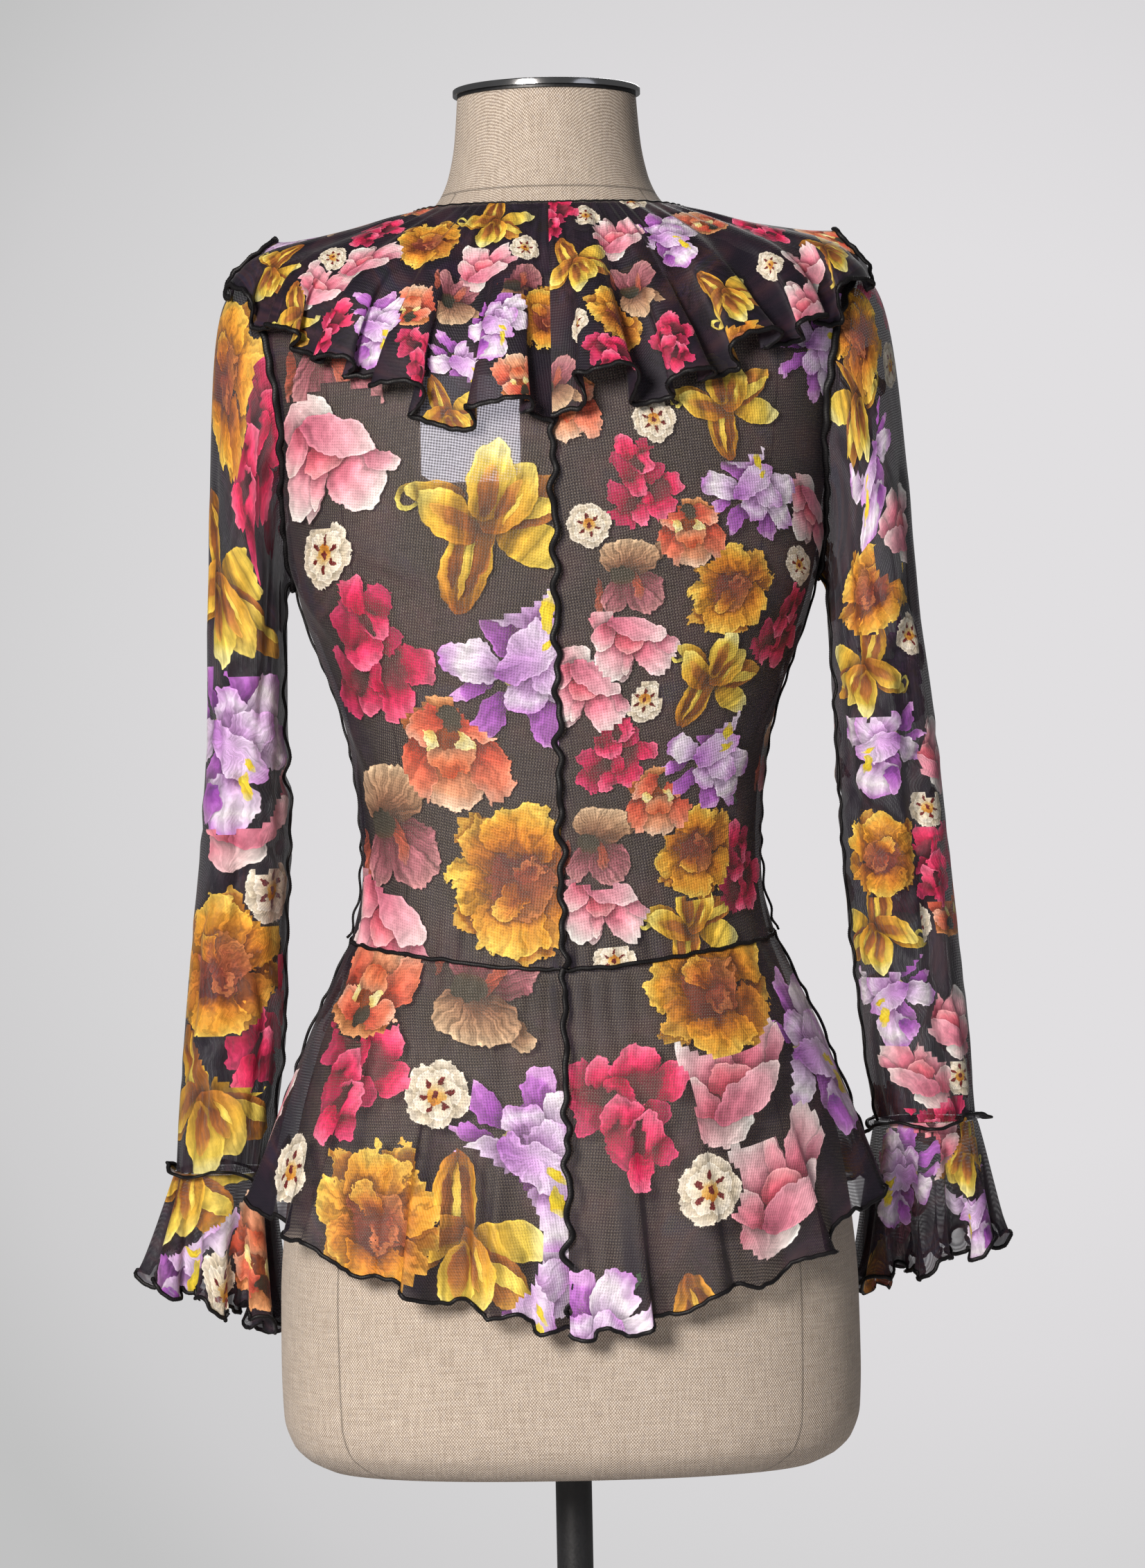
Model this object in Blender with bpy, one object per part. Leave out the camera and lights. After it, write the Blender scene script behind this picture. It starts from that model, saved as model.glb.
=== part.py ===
"""A long-sleeved mesh blouse, worn on a limbless dress form that stands on a pole and a round base.

Metres, +Z up. The origin is the middle of the base's underside, on the pole's axis. -Y is the garment's back
and +X the wearer's right. Run with: blender --background --python part.py

In the tables, heights are in millimetres above the underside of the form's torso, and a turn is an angle in
degrees about the pole's axis: 0 at the centre back, 90 at the side and 180 at the centre front. A side is 1
for the wearer's right and -1 for the left. A lift is a distance out from the form's surface, in millimetres.
"""

from collections import namedtuple

import bmesh
import bpy
import numpy as np

MM = 0.001
LEFT, RIGHT = -1, 1

# Driving sizes.
FORM_BOTTOM = 0.270  # the torso's underside above the floor
WALL = 0.0012  # the cloth's thickness
SEAM_GAP = 0.5  # between two panels that are sewn edge to edge
ARMHOLE_GAP = 1.1  # between a sleeve head and the panels, which meet at an angle
UNDERARM_LIFT = 1.0  # how far off the bodice a sleeve starts at the underarm, where it turns down
NECKLINE = 753  # height of the back neckline and of the shoulder seams' inner ends
SHOULDER_TIP, UNDERARM = 713, 534  # heights of the top and the foot of an armhole
NECK_POINT = 640  # height of the foot of the front's V neckline
NECK_HALF_WIDTH = 62  # of the V at its top

# The dress form: half width, depth behind and in front of the pole's axis, and how square the outline is (2 is an
# ellipse).
Section = namedtuple("Section", "height half_width back front squareness")
FORM = (
    Section(0, 148, 92, 88, 2.4),
    Section(6, 160, 103, 98, 2.4),
    Section(16, 169, 111, 105, 2.5),
    Section(32, 174, 115, 109, 2.5),
    Section(60, 175, 116, 110, 2.5),
    Section(105, 174.5, 117, 111, 2.5),
    Section(150, 171, 117, 111, 2.45),
    Section(200, 163, 113, 110, 2.4),
    Section(250, 149.5, 103, 106, 2.3),
    Section(290, 134, 93, 101, 2.25),
    Section(322, 123, 87, 97, 2.2),
    Section(345, 119, 84.5, 94, 2.2),
    Section(372, 117.5, 84, 92, 2.2),
    Section(400, 119, 85.5, 93, 2.2),
    Section(430, 123, 88.5, 97, 2.2),
    Section(460, 130, 92.5, 104, 2.25),
    Section(492, 141, 97.5, 114, 2.3),
    Section(524, 152, 102, 124, 2.35),
    Section(550, 158, 105.5, 130, 2.4),
    Section(580, 162, 109, 131.5, 2.45),
    Section(620, 168, 111, 122, 2.5),
    Section(660, 176, 108, 103, 2.6),
    Section(690, 182, 100, 84, 2.6),
    Section(704, 184, 94.5, 75, 2.5),
    Section(712, 181.5, 91, 71, 2.4),
    Section(719, 172, 87.5, 67, 2.35),
    Section(727, 149, 83, 61.5, 2.3),
    Section(735, 124, 78, 56.5, 2.25),
    Section(743, 101, 73, 52.5, 2.2),
    Section(750, 84, 68.5, 50, 2.15),
    Section(758, 72, 64, 48, 2.1),
    Section(766, 65.5, 60.5, 47.5, 2.1),
    Section(778, 60.5, 57.5, 48, 2.05),
    Section(798, 56.5, 54.5, 49.5, 2.0),
    Section(828, 54, 52.5, 51.5, 2.0),
)
FORM_ROWS = (0, 6, 16, 32, 70, 130, 180, 220, 260, 295, 325, 350, 375, 405, 435, 465, 495, 524, 552, 582, 620,
             655, 680, 695, 704, 711, 717, 723, 730, 738, 747, 757, 768, 782, 800, 828)
FORM_STEPS = 32

# How far the bodice stands off the form, from the waist seam up.
Ease = namedtuple("Ease", "height lift")
BODICE_EASE = (
    Ease(290, 2.8),
    Ease(350, 2.2),
    Ease(460, 2.4),
    Ease(560, 3.0),
    Ease(650, 3.0),
    Ease(700, 3.8),
    Ease(718, 3.6),
    Ease(760, 2.6),
)
WAIST_ROWS = (301, 332, 364, 398, 434, 470, 503)  # rows of points up to the underarm
SHOULDER_ROWS = (719, 726, 735, 744, NECKLINE)  # and above the shoulder tip
BODICE_COLUMNS = 8

# An armhole, by the angle round it from the shoulder tip down to the underarm: how far it leans from the side
# towards the back and the front.
Armhole = namedtuple("Armhole", "around back front")
ARMHOLE = (
    Armhole(0, 0, 0),
    Armhole(15, 8, 9),
    Armhole(30, 14, 16),
    Armhole(50, 18, 21),
    Armhole(75, 19, 23),
    Armhole(95, 17, 21),
    Armhole(115, 11, 15),
    Armhole(135, 6, 9),
    Armhole(155, 2.5, 4),
    Armhole(180, 0, 0),
)

# The waist seam, and the peplum's hem on the wearer's left and right, by turn.
Waist = namedtuple("Waist", "turn seam hem_left hem_right")
WAIST = (
    Waist(0, 301, 91, 90),
    Waist(16, 302, 104, 94),
    Waist(32, 305, 114, 111),
    Waist(48, 309, 129, 121),
    Waist(64, 313, 152, 152),
    Waist(78, 316, 160, 164),
    Waist(90, 318, 162, 167),
    Waist(112, 318, 161, 164),
    Waist(140, 315, 151, 152),
    Waist(180, 312, 142, 142),
)
# The peplum's lift off the form at the back and in front, by share of the way from the waist seam to the hem.
Flare = namedtuple("Flare", "share back front")
FLARE = (Flare(0.0, 2.8, 2.8), Flare(0.12, 4.5, 4.5), Flare(0.3, 7.5, 6.5), Flare(0.6, 10.5, 8), Flare(1.0, 14, 9))
SIDE_TURNS = (80, 112)  # between these the lift changes from the back's to the front's
# Its soft folds: where each one's crest meets the hem, how wide it is and how far it stands out there, and the
# share of the way down at which it starts.
Fold = namedtuple("Fold", "turn width height start")
PEPLUM_FOLDS = {
    LEFT: (
        Fold(11, 6, 8, 0.25), Fold(29, 8, 5, 0.1), Fold(47, 7, 7, 0.15), Fold(67, 9, 6, 0.2), Fold(132, 9, 8, 0.15),
        Fold(158, 10, 8, 0.2),
    ),
    RIGHT: (
        Fold(9, 6, 6, 0.2), Fold(25, 8, 7, 0.15), Fold(44, 8, 5, 0.15), Fold(63, 8, 7, 0.2), Fold(134, 9, 8, 0.15),
        Fold(160, 10, 8, 0.2),
    ),
}
PEPLUM_SHARES = (0, 0.12, 0.28, 0.46, 0.64, 0.82, 1)
PEPLUM_COLUMNS = 20

# The collar ruffle, from the centre back (share 0) over the shoulder to the centre front (share 1): where it leaves
# the neckline and where its hem lies.
# In front the neckline's turn comes from the V. The last column is how far the hem's troughs stand off the bodice,
# which is more where the collar passes over a sleeve head.
Collar = namedtuple("Collar", "share neck_turn neck_height hem_turn hem_height hem_lift")
COLLAR = (
    Collar(0.00, 0, 752.5, 0, 625, 3),
    Collar(0.08, 12, 752.5, 15, 628, 3),
    Collar(0.17, 26, 752.5, 33, 639, 3),
    Collar(0.26, 40, 752.5, 47, 655, 3),
    Collar(0.35, 56, 752.5, 59.5, 671, 3.5),
    Collar(0.43, 73, 752.5, 70.5, 690, 5),
    Collar(0.50, 90, 752.5, 89, 715, 7),
    Collar(0.58, 115, 752.5, 110, 702, 6.5),
    Collar(0.67, 121, 736, 123, 660, 3.5),
    Collar(0.76, 135, 711, 137, 624, 3),
    Collar(0.85, 150, 685, 151, 598, 3),
    Collar(0.93, 164, 661, 165, 581, 3),
    Collar(1.00, 179.5, 640, 178.6, 572, 3),
)
COLLAR_WAVES = {LEFT: 9, RIGHT: 10}
COLLAR_SHARES = (0, 0.12, 0.28, 0.46, 0.64, 0.82, 1)
COLLAR_STEPS_PER_WAVE = 6
COLLAR_LIFT = 2.0  # from the bodice's middle to the collar's, at the neckline
COLLAR_WAVE = 11  # how far the hem's crests stand out
COLLAR_FRONT = 0.58  # the share from which the neckline follows the V
COLLAR_END_GAP = 0.35  # from the centre back to the end of each half

# The sleeves below the underarm: where the middle of each section is, out from and in front of the pole's axis,
# and its half width and half depth. The last row is the wrist seam.
Arm = namedtuple("Arm", "height out ahead half_width half_depth")
SLEEVES = {
    LEFT: (
        Arm(506, 188, 6, 24, 55),
        Arm(457, 189, 10, 24, 53),
        Arm(389, 191.5, 20, 27, 50),
        Arm(322, 197.5, 32, 29, 48),
        Arm(255, 203, 43, 31, 45),
        Arm(205, 209, 50, 30, 42),
        Arm(177, 212, 52, 29, 40),
    ),
    RIGHT: (
        Arm(506, 192.5, 6, 28, 55),
        Arm(457, 197, 10, 30, 53),
        Arm(389, 202, 20, 32, 50),
        Arm(322, 208, 32, 33, 48),
        Arm(255, 215, 43, 33, 45),
        Arm(225, 218, 48, 32, 43),
        Arm(200, 221, 51, 31, 41),
    ),
}
SLEEVE_ROWS = 8  # below the underarm
CAP_SHARES = (0, 0.09, 0.2, 0.36, 0.56, 0.78)  # rows between an armhole and the underarm's section
AROUND_SLEEVE = 24  # a multiple of 4
SLEEVE_SQUARENESS = 2.3
HEAD_REACH = 15  # how much further a sleeve head reaches out at the shoulder tip than at the underarm
HEAD_LEAN = {LEFT: 7, RIGHT: 11}  # how far its outer side then leans in
# Creases that run down a sleeve: the angle round it from its outer side towards the back, half the angle that one
# takes up, how deep it is, and the heights where it starts and ends.
Crease = namedtuple("Crease", "around width depth top bottom")
SLEEVE_CREASES = {
    LEFT: (Crease(88, 24, 6, 480, 190), Crease(268, 26, 5, 520, 200)),
    RIGHT: (Crease(66, 24, 6.5, 520, 215), Crease(262, 26, 5, 500, 220)),
}

# The cuff frills: half width and half depth of the hem, its height in the middle, and how much lower its inner side
# hangs than the outer.
Frill = namedtuple("Frill", "out ahead half_width half_depth hem slant")
FRILLS = {LEFT: Frill(219, 68, 38, 46, 97, 16), RIGHT: Frill(222, 66, 43, 47, 113, 14)}
FRILL_WAVES = 9
FRILL_STEPS_PER_WAVE = 6
FRILL_WAVE = 6.5  # half the height of a wave at the hem
FRILL_SHARES = (0, 0.2, 0.45, 0.72, 1)

# A blank label between the form and the left back panel.
LABEL_OUTER, LABEL_INNER = 77, 19  # distances from the centre back
LABEL_FOOT, LABEL_TOP = 588, 650
LABEL_CORNER = 5
LABEL_LIFT = 1.05
LABEL_THICKNESS = 0.0005

# The stand.
CAP_RADIUS, CAP_THICKNESS, CAP_EDGE = 56.8, 5.7, 1.2
POLE_RADIUS = 11
SEAT_GAP = 0.3  # between hard pieces that meet
BASE_RADIUS, BASE_THICKNESS, BASE_EDGE = 160, 12, 4
BOSS_RADIUS, BOSS_HEIGHT = 21, 40


# ------------------------------------------------------------------ curves and surfaces


def smooth(known_at, values, at):
    """The values at some places, on a smooth curve through the known ones that never overshoots them."""
    known_at, values = np.asarray(known_at, float), np.asarray(values, float)
    gap = np.diff(known_at)
    rise = np.diff(values) / gap
    slope = np.concatenate([rise[:1], np.zeros(len(rise) - 1), rise[-1:]])
    product = rise[:-1] * rise[1:]
    total = np.where(product > 0, rise[:-1] + rise[1:], 1)
    slope[1:-1] = np.where(product > 0, 2 * product / total, 0)
    at = np.clip(at, known_at[0], known_at[-1])
    i = np.clip(np.searchsorted(known_at, at, side="right") - 1, 0, len(gap) - 1)
    t = (at - known_at[i]) / gap[i]
    start, end = values[i], values[i + 1]
    return (
        start * (1 + 2 * t) * (1 - t) ** 2
        + slope[i] * gap[i] * t * (1 - t) ** 2
        + end * t * t * (3 - 2 * t)
        + slope[i + 1] * gap[i] * t * t * (t - 1)
    )


def read(table, column, at):
    """A column of a table, read at some values of the table's first column."""
    key = table[0]._fields[0]
    rows = sorted(table, key=lambda row: getattr(row, key))
    return smooth([getattr(row, key) for row in rows], [getattr(row, column) for row in rows], at)


def form_point(side, turn, height):
    """Points of the dress form's surface."""
    turn, height = np.broadcast_arrays(np.radians(turn), np.asarray(height, float))
    half_width, back, front, squareness = (read(FORM, name, height) for name in Section._fields[1:])
    across, ahead = np.sin(turn), -np.cos(turn)
    depth = np.where(ahead < 0, back, front)
    reach = ((np.abs(across) / half_width) ** squareness + (np.abs(ahead) / depth) ** squareness) ** (-1 / squareness)
    return np.stack([side * reach * across, reach * ahead, height], -1)


def outward(side, turn, height):
    """Unit vectors that point out of the form's surface."""
    small = 0.5
    across = form_point(side, turn + small, height) - form_point(side, turn - small, height)
    up = form_point(side, turn, height + small) - form_point(side, turn, height - small)
    normal = np.cross(across, up) * side
    return normal / np.linalg.norm(normal, axis=-1, keepdims=True)


def lifted(side, turn, height, lift):
    """Points that lie a distance off the form."""
    return form_point(side, turn, height) + outward(side, turn, height) * np.asarray(lift)[..., None]


def bodice_lift(height):
    """From the form to the middle of the bodice's cloth."""
    return read(BODICE_EASE, "lift", height)


def armhole_height(around):
    """The height at an angle round an armhole, from the shoulder tip."""
    middle, half = (SHOULDER_TIP + UNDERARM) / 2, (SHOULDER_TIP - UNDERARM) / 2
    return middle + half * np.cos(np.radians(around))


def bodice_rows():
    """The bodice's rows of points. Beside an armhole they meet the points of the sleeve's edge."""
    beside = armhole_height(np.linspace(180, 0, AROUND_SLEEVE // 2 + 1))
    return np.concatenate([WAIST_ROWS, beside, SHOULDER_ROWS])


# ------------------------------------------------------------------ objects


def material(name, colour, roughness, metallic=0.0):
    made = bpy.data.materials.new(name)
    made.use_nodes = True
    shader = made.node_tree.nodes["Principled BSDF"]
    shader.inputs["Base Color"].default_value = (*colour, 1)
    shader.inputs["Roughness"].default_value = roughness
    shader.inputs["Metallic"].default_value = metallic
    return made


def add_object(name, points, faces, finish):
    """An object whose points are given in millimetres above the form's underside."""
    mesh = bpy.data.meshes.new(name)
    mesh.from_pydata((np.asarray(points) * MM + (0, 0, FORM_BOTTOM)).tolist(), [], faces)
    mesh.materials.append(finish)
    mesh.shade_smooth()
    made = bpy.data.objects.new(name, mesh)
    bpy.context.scene.collection.objects.link(made)
    return made


def grid_faces(rows, columns, closed):
    """The squares of a grid of points. A closed grid joins its last column to its first."""
    return [
        (row * columns + a, row * columns + (a + 1) % columns, (row + 1) * columns + (a + 1) % columns,
         (row + 1) * columns + a)
        for row in range(rows - 1)
        for a in range(columns if closed else columns - 1)
    ]


def thicken(sheet, thickness):
    """Gives a sheet its wall, half on each side."""
    wall = sheet.modifiers.new("Wall", "SOLIDIFY")
    wall.thickness = thickness
    wall.offset = 0


def add_cloth(name, points, finish, closed=False):
    """A cloth wall through a grid of points."""
    rows, columns = points.shape[:2]
    sheet = add_object(name, points.reshape(-1, 3), grid_faces(rows, columns, closed), finish)
    thicken(sheet, WALL)
    return sheet


def add_turned(name, rings, finish):
    """A solid through closed rings of points, from the bottom up, with flat ends."""
    rows, columns = rings.shape[:2]
    foot = tuple(reversed(range(columns)))
    top = tuple(range((rows - 1) * columns, rows * columns))
    return add_object(name, rings.reshape(-1, 3), grid_faces(rows, columns, True) + [foot, top], finish)


def round_rings(profile, steps):
    """Rings about the pole's axis from (radius, height) pairs."""
    angle = np.linspace(0, 2 * np.pi, steps, endpoint=False)
    return np.array([
        np.stack([radius * np.cos(angle), radius * np.sin(angle), np.full(steps, float(height))], -1)
        for radius, height in profile
    ])


# ------------------------------------------------------------------ the stand and the dress form


def add_form(finish):
    turn = np.linspace(0, 360, FORM_STEPS, endpoint=False)
    side = np.where(turn <= 180, RIGHT, LEFT)
    turn = np.minimum(turn, 360 - turn)
    add_turned("form_torso", np.array([form_point(side, turn, height) for height in FORM_ROWS]), finish)


def add_neck_cap(finish):
    foot = FORM[-1].height + SEAT_GAP
    top = foot + CAP_THICKNESS
    inner = CAP_RADIUS - CAP_EDGE
    profile = ((inner, foot), (CAP_RADIUS, foot + CAP_EDGE), (CAP_RADIUS, top - CAP_EDGE), (inner, top))
    add_turned("neck_cap", round_rings(profile, 40), finish)


def add_stand(pole_finish, base_finish):
    floor = -FORM_BOTTOM / MM
    base_top = floor + BASE_THICKNESS
    boss_top = base_top + BOSS_HEIGHT
    profile = (
        (BASE_RADIUS, floor), (BASE_RADIUS, base_top - BASE_EDGE), (BASE_RADIUS - BASE_EDGE, base_top),
        (BOSS_RADIUS + BASE_EDGE, base_top + 1), (BOSS_RADIUS, base_top + BASE_EDGE + 1), (BOSS_RADIUS, boss_top),
    )
    add_turned("base", round_rings(profile, 48), base_finish)
    profile = ((POLE_RADIUS, boss_top + SEAT_GAP), (POLE_RADIUS, -SEAT_GAP))
    add_turned("pole", round_rings(profile, 24), pole_finish)


# ------------------------------------------------------------------ the bodice


def armhole_lean(height, face):
    """How far the armhole's edge leans from the side towards the back or the front, at a height."""
    middle, half = (SHOULDER_TIP + UNDERARM) / 2, (SHOULDER_TIP - UNDERARM) / 2
    around = np.degrees(np.arccos(np.clip((height - middle) / half, -1, 1)))
    return read(ARMHOLE, face, around)


def neckline_turn(height):
    """The turn of the front's V neckline at a height, on the right side."""
    share = np.clip((height - NECK_POINT) / (NECKLINE - NECK_POINT), 0, 1)
    turns = np.linspace(90, 180, 181)
    outs = lifted(RIGHT, turns, height, bodice_lift(height))[..., 0]
    return np.interp(-NECK_HALF_WIDTH * share**0.9, -outs, turns)


def bodice_grid(side, start, end):
    """A panel's points, row by row from the waist seam up. start and end give its turns at each row."""
    share = np.linspace(0, 1, BODICE_COLUMNS + 1)
    rows = []
    for nominal, first, last in zip(bodice_rows(), start, end):
        turn = first + (last - first) * share
        above_waist = read(WAIST, "seam", turn) - WAIST_ROWS[0]
        height = nominal + above_waist * max(UNDERARM - nominal, 0) / (UNDERARM - WAIST_ROWS[0])
        rows.append(lifted(side, turn, height, bodice_lift(height)))
    return np.array(rows)


def add_back(side, name, finish):
    rows = bodice_rows()
    points = bodice_grid(side, np.zeros(len(rows)), 90 - armhole_lean(rows, "back"))
    points[:, 0, 0] = side * SEAM_GAP / 2
    at_side = (rows <= UNDERARM) | (rows >= SHOULDER_TIP)
    points[at_side, -1, 1] -= SEAM_GAP / 2
    add_cloth(name, points, finish)


def add_front(finish):
    """The front is one piece: its halves share the centre line below the V."""
    rows = bodice_rows()
    start = np.array([180 if height <= NECK_POINT else neckline_turn(height) for height in rows])
    squares = np.array(grid_faces(len(rows), BODICE_COLUMNS + 1, False))
    in_half = len(rows) * (BODICE_COLUMNS + 1)
    sheets, faces = [], []
    for number, side in enumerate((LEFT, RIGHT)):
        points = bodice_grid(side, start, 90 + armhole_lean(rows, "front"))
        points[start == 180, 0, 0] = 0
        at_side = (rows <= UNDERARM) | (rows >= SHOULDER_TIP)
        points[at_side, -1, 1] += SEAM_GAP / 2
        faces += (squares[:, ::-side] + number * in_half).tolist()
        sheets.append(points.reshape(-1, 3))
    front = add_object("front", np.concatenate(sheets), faces, finish)
    mesh = bmesh.new()
    mesh.from_mesh(front.data)
    bmesh.ops.remove_doubles(mesh, verts=mesh.verts, dist=0.01 * MM)
    mesh.to_mesh(front.data)
    mesh.free()
    thicken(front, WALL)


# ------------------------------------------------------------------ the peplum


def peplum_grid(side, turns, shares):
    """Points of the peplum, by turn and by share of the way from the waist seam to the hem."""
    turn, share = np.meshgrid(turns, shares)
    seam, hem = read(WAIST, "seam", turn), read(WAIST, "hem_left" if side == LEFT else "hem_right", turn)
    seam_gap = SEAM_GAP + WALL / MM / 4
    height = seam - seam_gap + (hem - seam + seam_gap) * share
    to_front = np.clip((turn - SIDE_TURNS[0]) / (SIDE_TURNS[1] - SIDE_TURNS[0]), 0, 1)
    lift = read(FLARE, "back", share) * (1 - to_front) + read(FLARE, "front", share) * to_front
    for fold in PEPLUM_FOLDS[side]:
        grown = np.clip((share - fold.start) / (1 - fold.start), 0, 1) ** 1.2
        lift = lift + fold.height * grown * np.exp(-(((turn - fold.turn) / fold.width) ** 2))
    return lifted(side, turn, height, lift)


def add_peplum(finish):
    for side, name in ((LEFT, "peplum_back_left"), (RIGHT, "peplum_back_right")):
        points = peplum_grid(side, np.linspace(0, 90, PEPLUM_COLUMNS + 1), PEPLUM_SHARES)
        points[:, 0, 0] = side * SEAM_GAP / 2
        points[:, -1, 1] -= SEAM_GAP / 2
        add_cloth(name, points, finish)
    turns = np.linspace(90, 180, PEPLUM_COLUMNS + 1)
    left, right = (peplum_grid(side, turns, PEPLUM_SHARES) for side in (LEFT, RIGHT))
    for half in (left, right):
        half[:, 0, 1] += SEAM_GAP / 2
    middle = (left[:, -1:] + right[:, -1:]) / 2
    add_cloth("peplum_front", np.concatenate([left[:, :-1], middle, right[:, -2::-1]], axis=1), finish)


# ------------------------------------------------------------------ the collar


def collar_grid(side, along, down):
    """Points of half the collar, by share of the way to the centre front and from the neckline to the hem."""
    neck_turn, neck_height, hem_turn, hem_height, hem_lift = (
        read(COLLAR, name, along) for name in Collar._fields[1:]
    )
    on_v = along >= COLLAR_FRONT
    neck_turn[on_v] = [neckline_turn(height) for height in neck_height[on_v]]
    neck_turn = np.minimum(neck_turn, COLLAR[-1].neck_turn)
    along, down = np.meshgrid(along, down)
    turn = neck_turn + (hem_turn - neck_turn) * down
    height = neck_height + (hem_height - neck_height) * down
    wave = (1 - np.cos(2 * np.pi * COLLAR_WAVES[side] * along)) / 2
    trough = COLLAR_LIFT + (hem_lift - COLLAR_LIFT) * down**0.6
    lift = bodice_lift(height) + trough + COLLAR_WAVE * wave * down**1.4
    return lifted(side, turn, height, lift)


def add_collar(side, name, finish):
    along = np.linspace(0, 1, COLLAR_WAVES[side] * COLLAR_STEPS_PER_WAVE + 1)
    points = collar_grid(side, along, COLLAR_SHARES)
    points[:, 0, 0] = side * COLLAR_END_GAP
    add_cloth(name, points, finish)


# ------------------------------------------------------------------ the sleeves and their frills


def hanging_ring(side, around, row):
    """A section of a sleeve below the underarm. around runs from its outer side by the back to the inner side."""
    angle = np.radians(around)
    power = 2 / SLEEVE_SQUARENESS
    across = np.sign(np.cos(angle)) * np.abs(np.cos(angle)) ** power
    behind = np.sign(np.sin(angle)) * np.abs(np.sin(angle)) ** power
    inwards = np.zeros_like(angle)
    for crease in SLEEVE_CREASES[side]:
        away = (around - crease.around + 180) % 360 - 180
        ends = np.clip((crease.top - row.height) / 60, 0, 1) * np.clip((row.height - crease.bottom) / 40, 0, 1)
        inwards = inwards + crease.depth * ends * np.exp(-((away / crease.width * 1.6) ** 2))
    width, depth = row.half_width - inwards, row.half_depth - inwards
    return np.stack([side * (row.out + width * across), row.ahead - depth * behind,
                     np.full_like(angle, row.height)], -1)


def armhole_ring(side, around):
    """Points round an armhole, on the line where its panels end, and the directions in which the sleeve leaves it."""
    angle = np.radians(around)
    height = armhole_height(around)
    down = np.where(around <= 180, around, 360 - around)
    lean = np.where(around <= 180, -read(ARMHOLE, "back", down), read(ARMHOLE, "front", down))
    clear = UNDERARM_LIFT * (1 - np.cos(angle)) / 2
    points = lifted(side, 90 + lean, height, bodice_lift(height) + clear)
    leaves = np.stack([
        side * (0.8 + 0.2 * np.cos(angle)), -0.3 * np.sin(angle), -(0.42 - 0.34 * np.cos(angle)),
    ], -1)
    return points, leaves / np.linalg.norm(leaves, axis=-1, keepdims=True)


def sleeve_grid(side, around):
    """Rings of a sleeve, from the armhole to the wrist seam."""
    table = SLEEVES[side]
    start, leaves = armhole_ring(side, around)
    start = start + leaves * ARMHOLE_GAP
    first = hanging_ring(side, around, table[0])
    drop = start[:, 2:] - first[:, 2:]
    outer = (0.5 + 0.5 * np.cos(np.radians(around)))[:, None]
    reach = 8 + HEAD_REACH * outer
    above = first + np.array([0, 0, 0.72]) * drop - np.array([side * HEAD_LEAN[side], 0, 0]) * outer
    rings = []
    for share in CAP_SHARES:
        rings.append(
            start * (1 - share) ** 3
            + 3 * (start + leaves * reach) * share * (1 - share) ** 2
            + 3 * above * share**2 * (1 - share)
            + first * share**3
        )
    for height in np.linspace(table[0].height, table[-1].height, SLEEVE_ROWS + 1):
        row = Arm(height, *(float(read(table, name, height)) for name in Arm._fields[1:]))
        rings.append(hanging_ring(side, around, row))
    return np.array(rings)


def frill_grid(side, around, shares):
    """Rings of a cuff frill, from just below the wrist seam to its hem."""
    wrist, frill = SLEEVES[side][-1], FRILLS[side]
    angle = np.radians(around)
    rings = []
    for share in shares:
        spread = share**0.8
        out = wrist.out + (frill.out - wrist.out) * share
        ahead = wrist.ahead + (frill.ahead - wrist.ahead) * share
        wave = FRILL_WAVE * share**1.3 * np.cos(FRILL_WAVES * angle)
        half_width = wrist.half_width + (frill.half_width - wrist.half_width) * spread + wave
        half_depth = wrist.half_depth + (frill.half_depth - wrist.half_depth) * spread + wave
        top = wrist.height - SEAM_GAP - WALL / MM / 4
        hem = frill.hem + frill.slant * np.cos(angle)
        rings.append(np.stack([
            side * (out + half_width * np.cos(angle)), ahead - half_depth * np.sin(angle),
            top + (hem - top) * share,
        ], -1))
    return np.array(rings)


def add_sleeve(side, name, finish):
    around = np.linspace(0, 360, AROUND_SLEEVE, endpoint=False)
    add_cloth(name, sleeve_grid(side, around), finish, closed=True)


def add_cuff(side, name, finish):
    around = np.linspace(0, 360, FRILL_WAVES * FRILL_STEPS_PER_WAVE, endpoint=False)
    add_cloth(name, frill_grid(side, around, FRILL_SHARES), finish, closed=True)


# ------------------------------------------------------------------ the label


def add_label(finish):
    """A thin plate with rounded lower corners that follows the form's back."""
    columns = np.linspace(LABEL_INNER, LABEL_OUTER, 9)
    inset = np.minimum(columns - LABEL_INNER, LABEL_OUTER - columns)
    cut = LABEL_CORNER - np.sqrt(np.maximum(LABEL_CORNER**2 - np.maximum(LABEL_CORNER - inset, 0) ** 2, 0))
    rows = []
    for share in np.linspace(0, 1, 7):
        height = (LABEL_FOOT + cut) + (LABEL_TOP - LABEL_FOOT - cut) * share
        turns = np.linspace(0, 90, 181)
        outs = [form_point(RIGHT, turns, level)[..., 0] for level in height]
        turn = np.array([np.interp(out, known, turns) for out, known in zip(columns, outs)])
        rows.append(lifted(LEFT, turn, height, np.full_like(turn, LABEL_LIFT)))
    points = np.array(rows)
    label = add_object("label", points.reshape(-1, 3), grid_faces(*points.shape[:2], False), finish)
    thicken(label, LABEL_THICKNESS)


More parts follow.
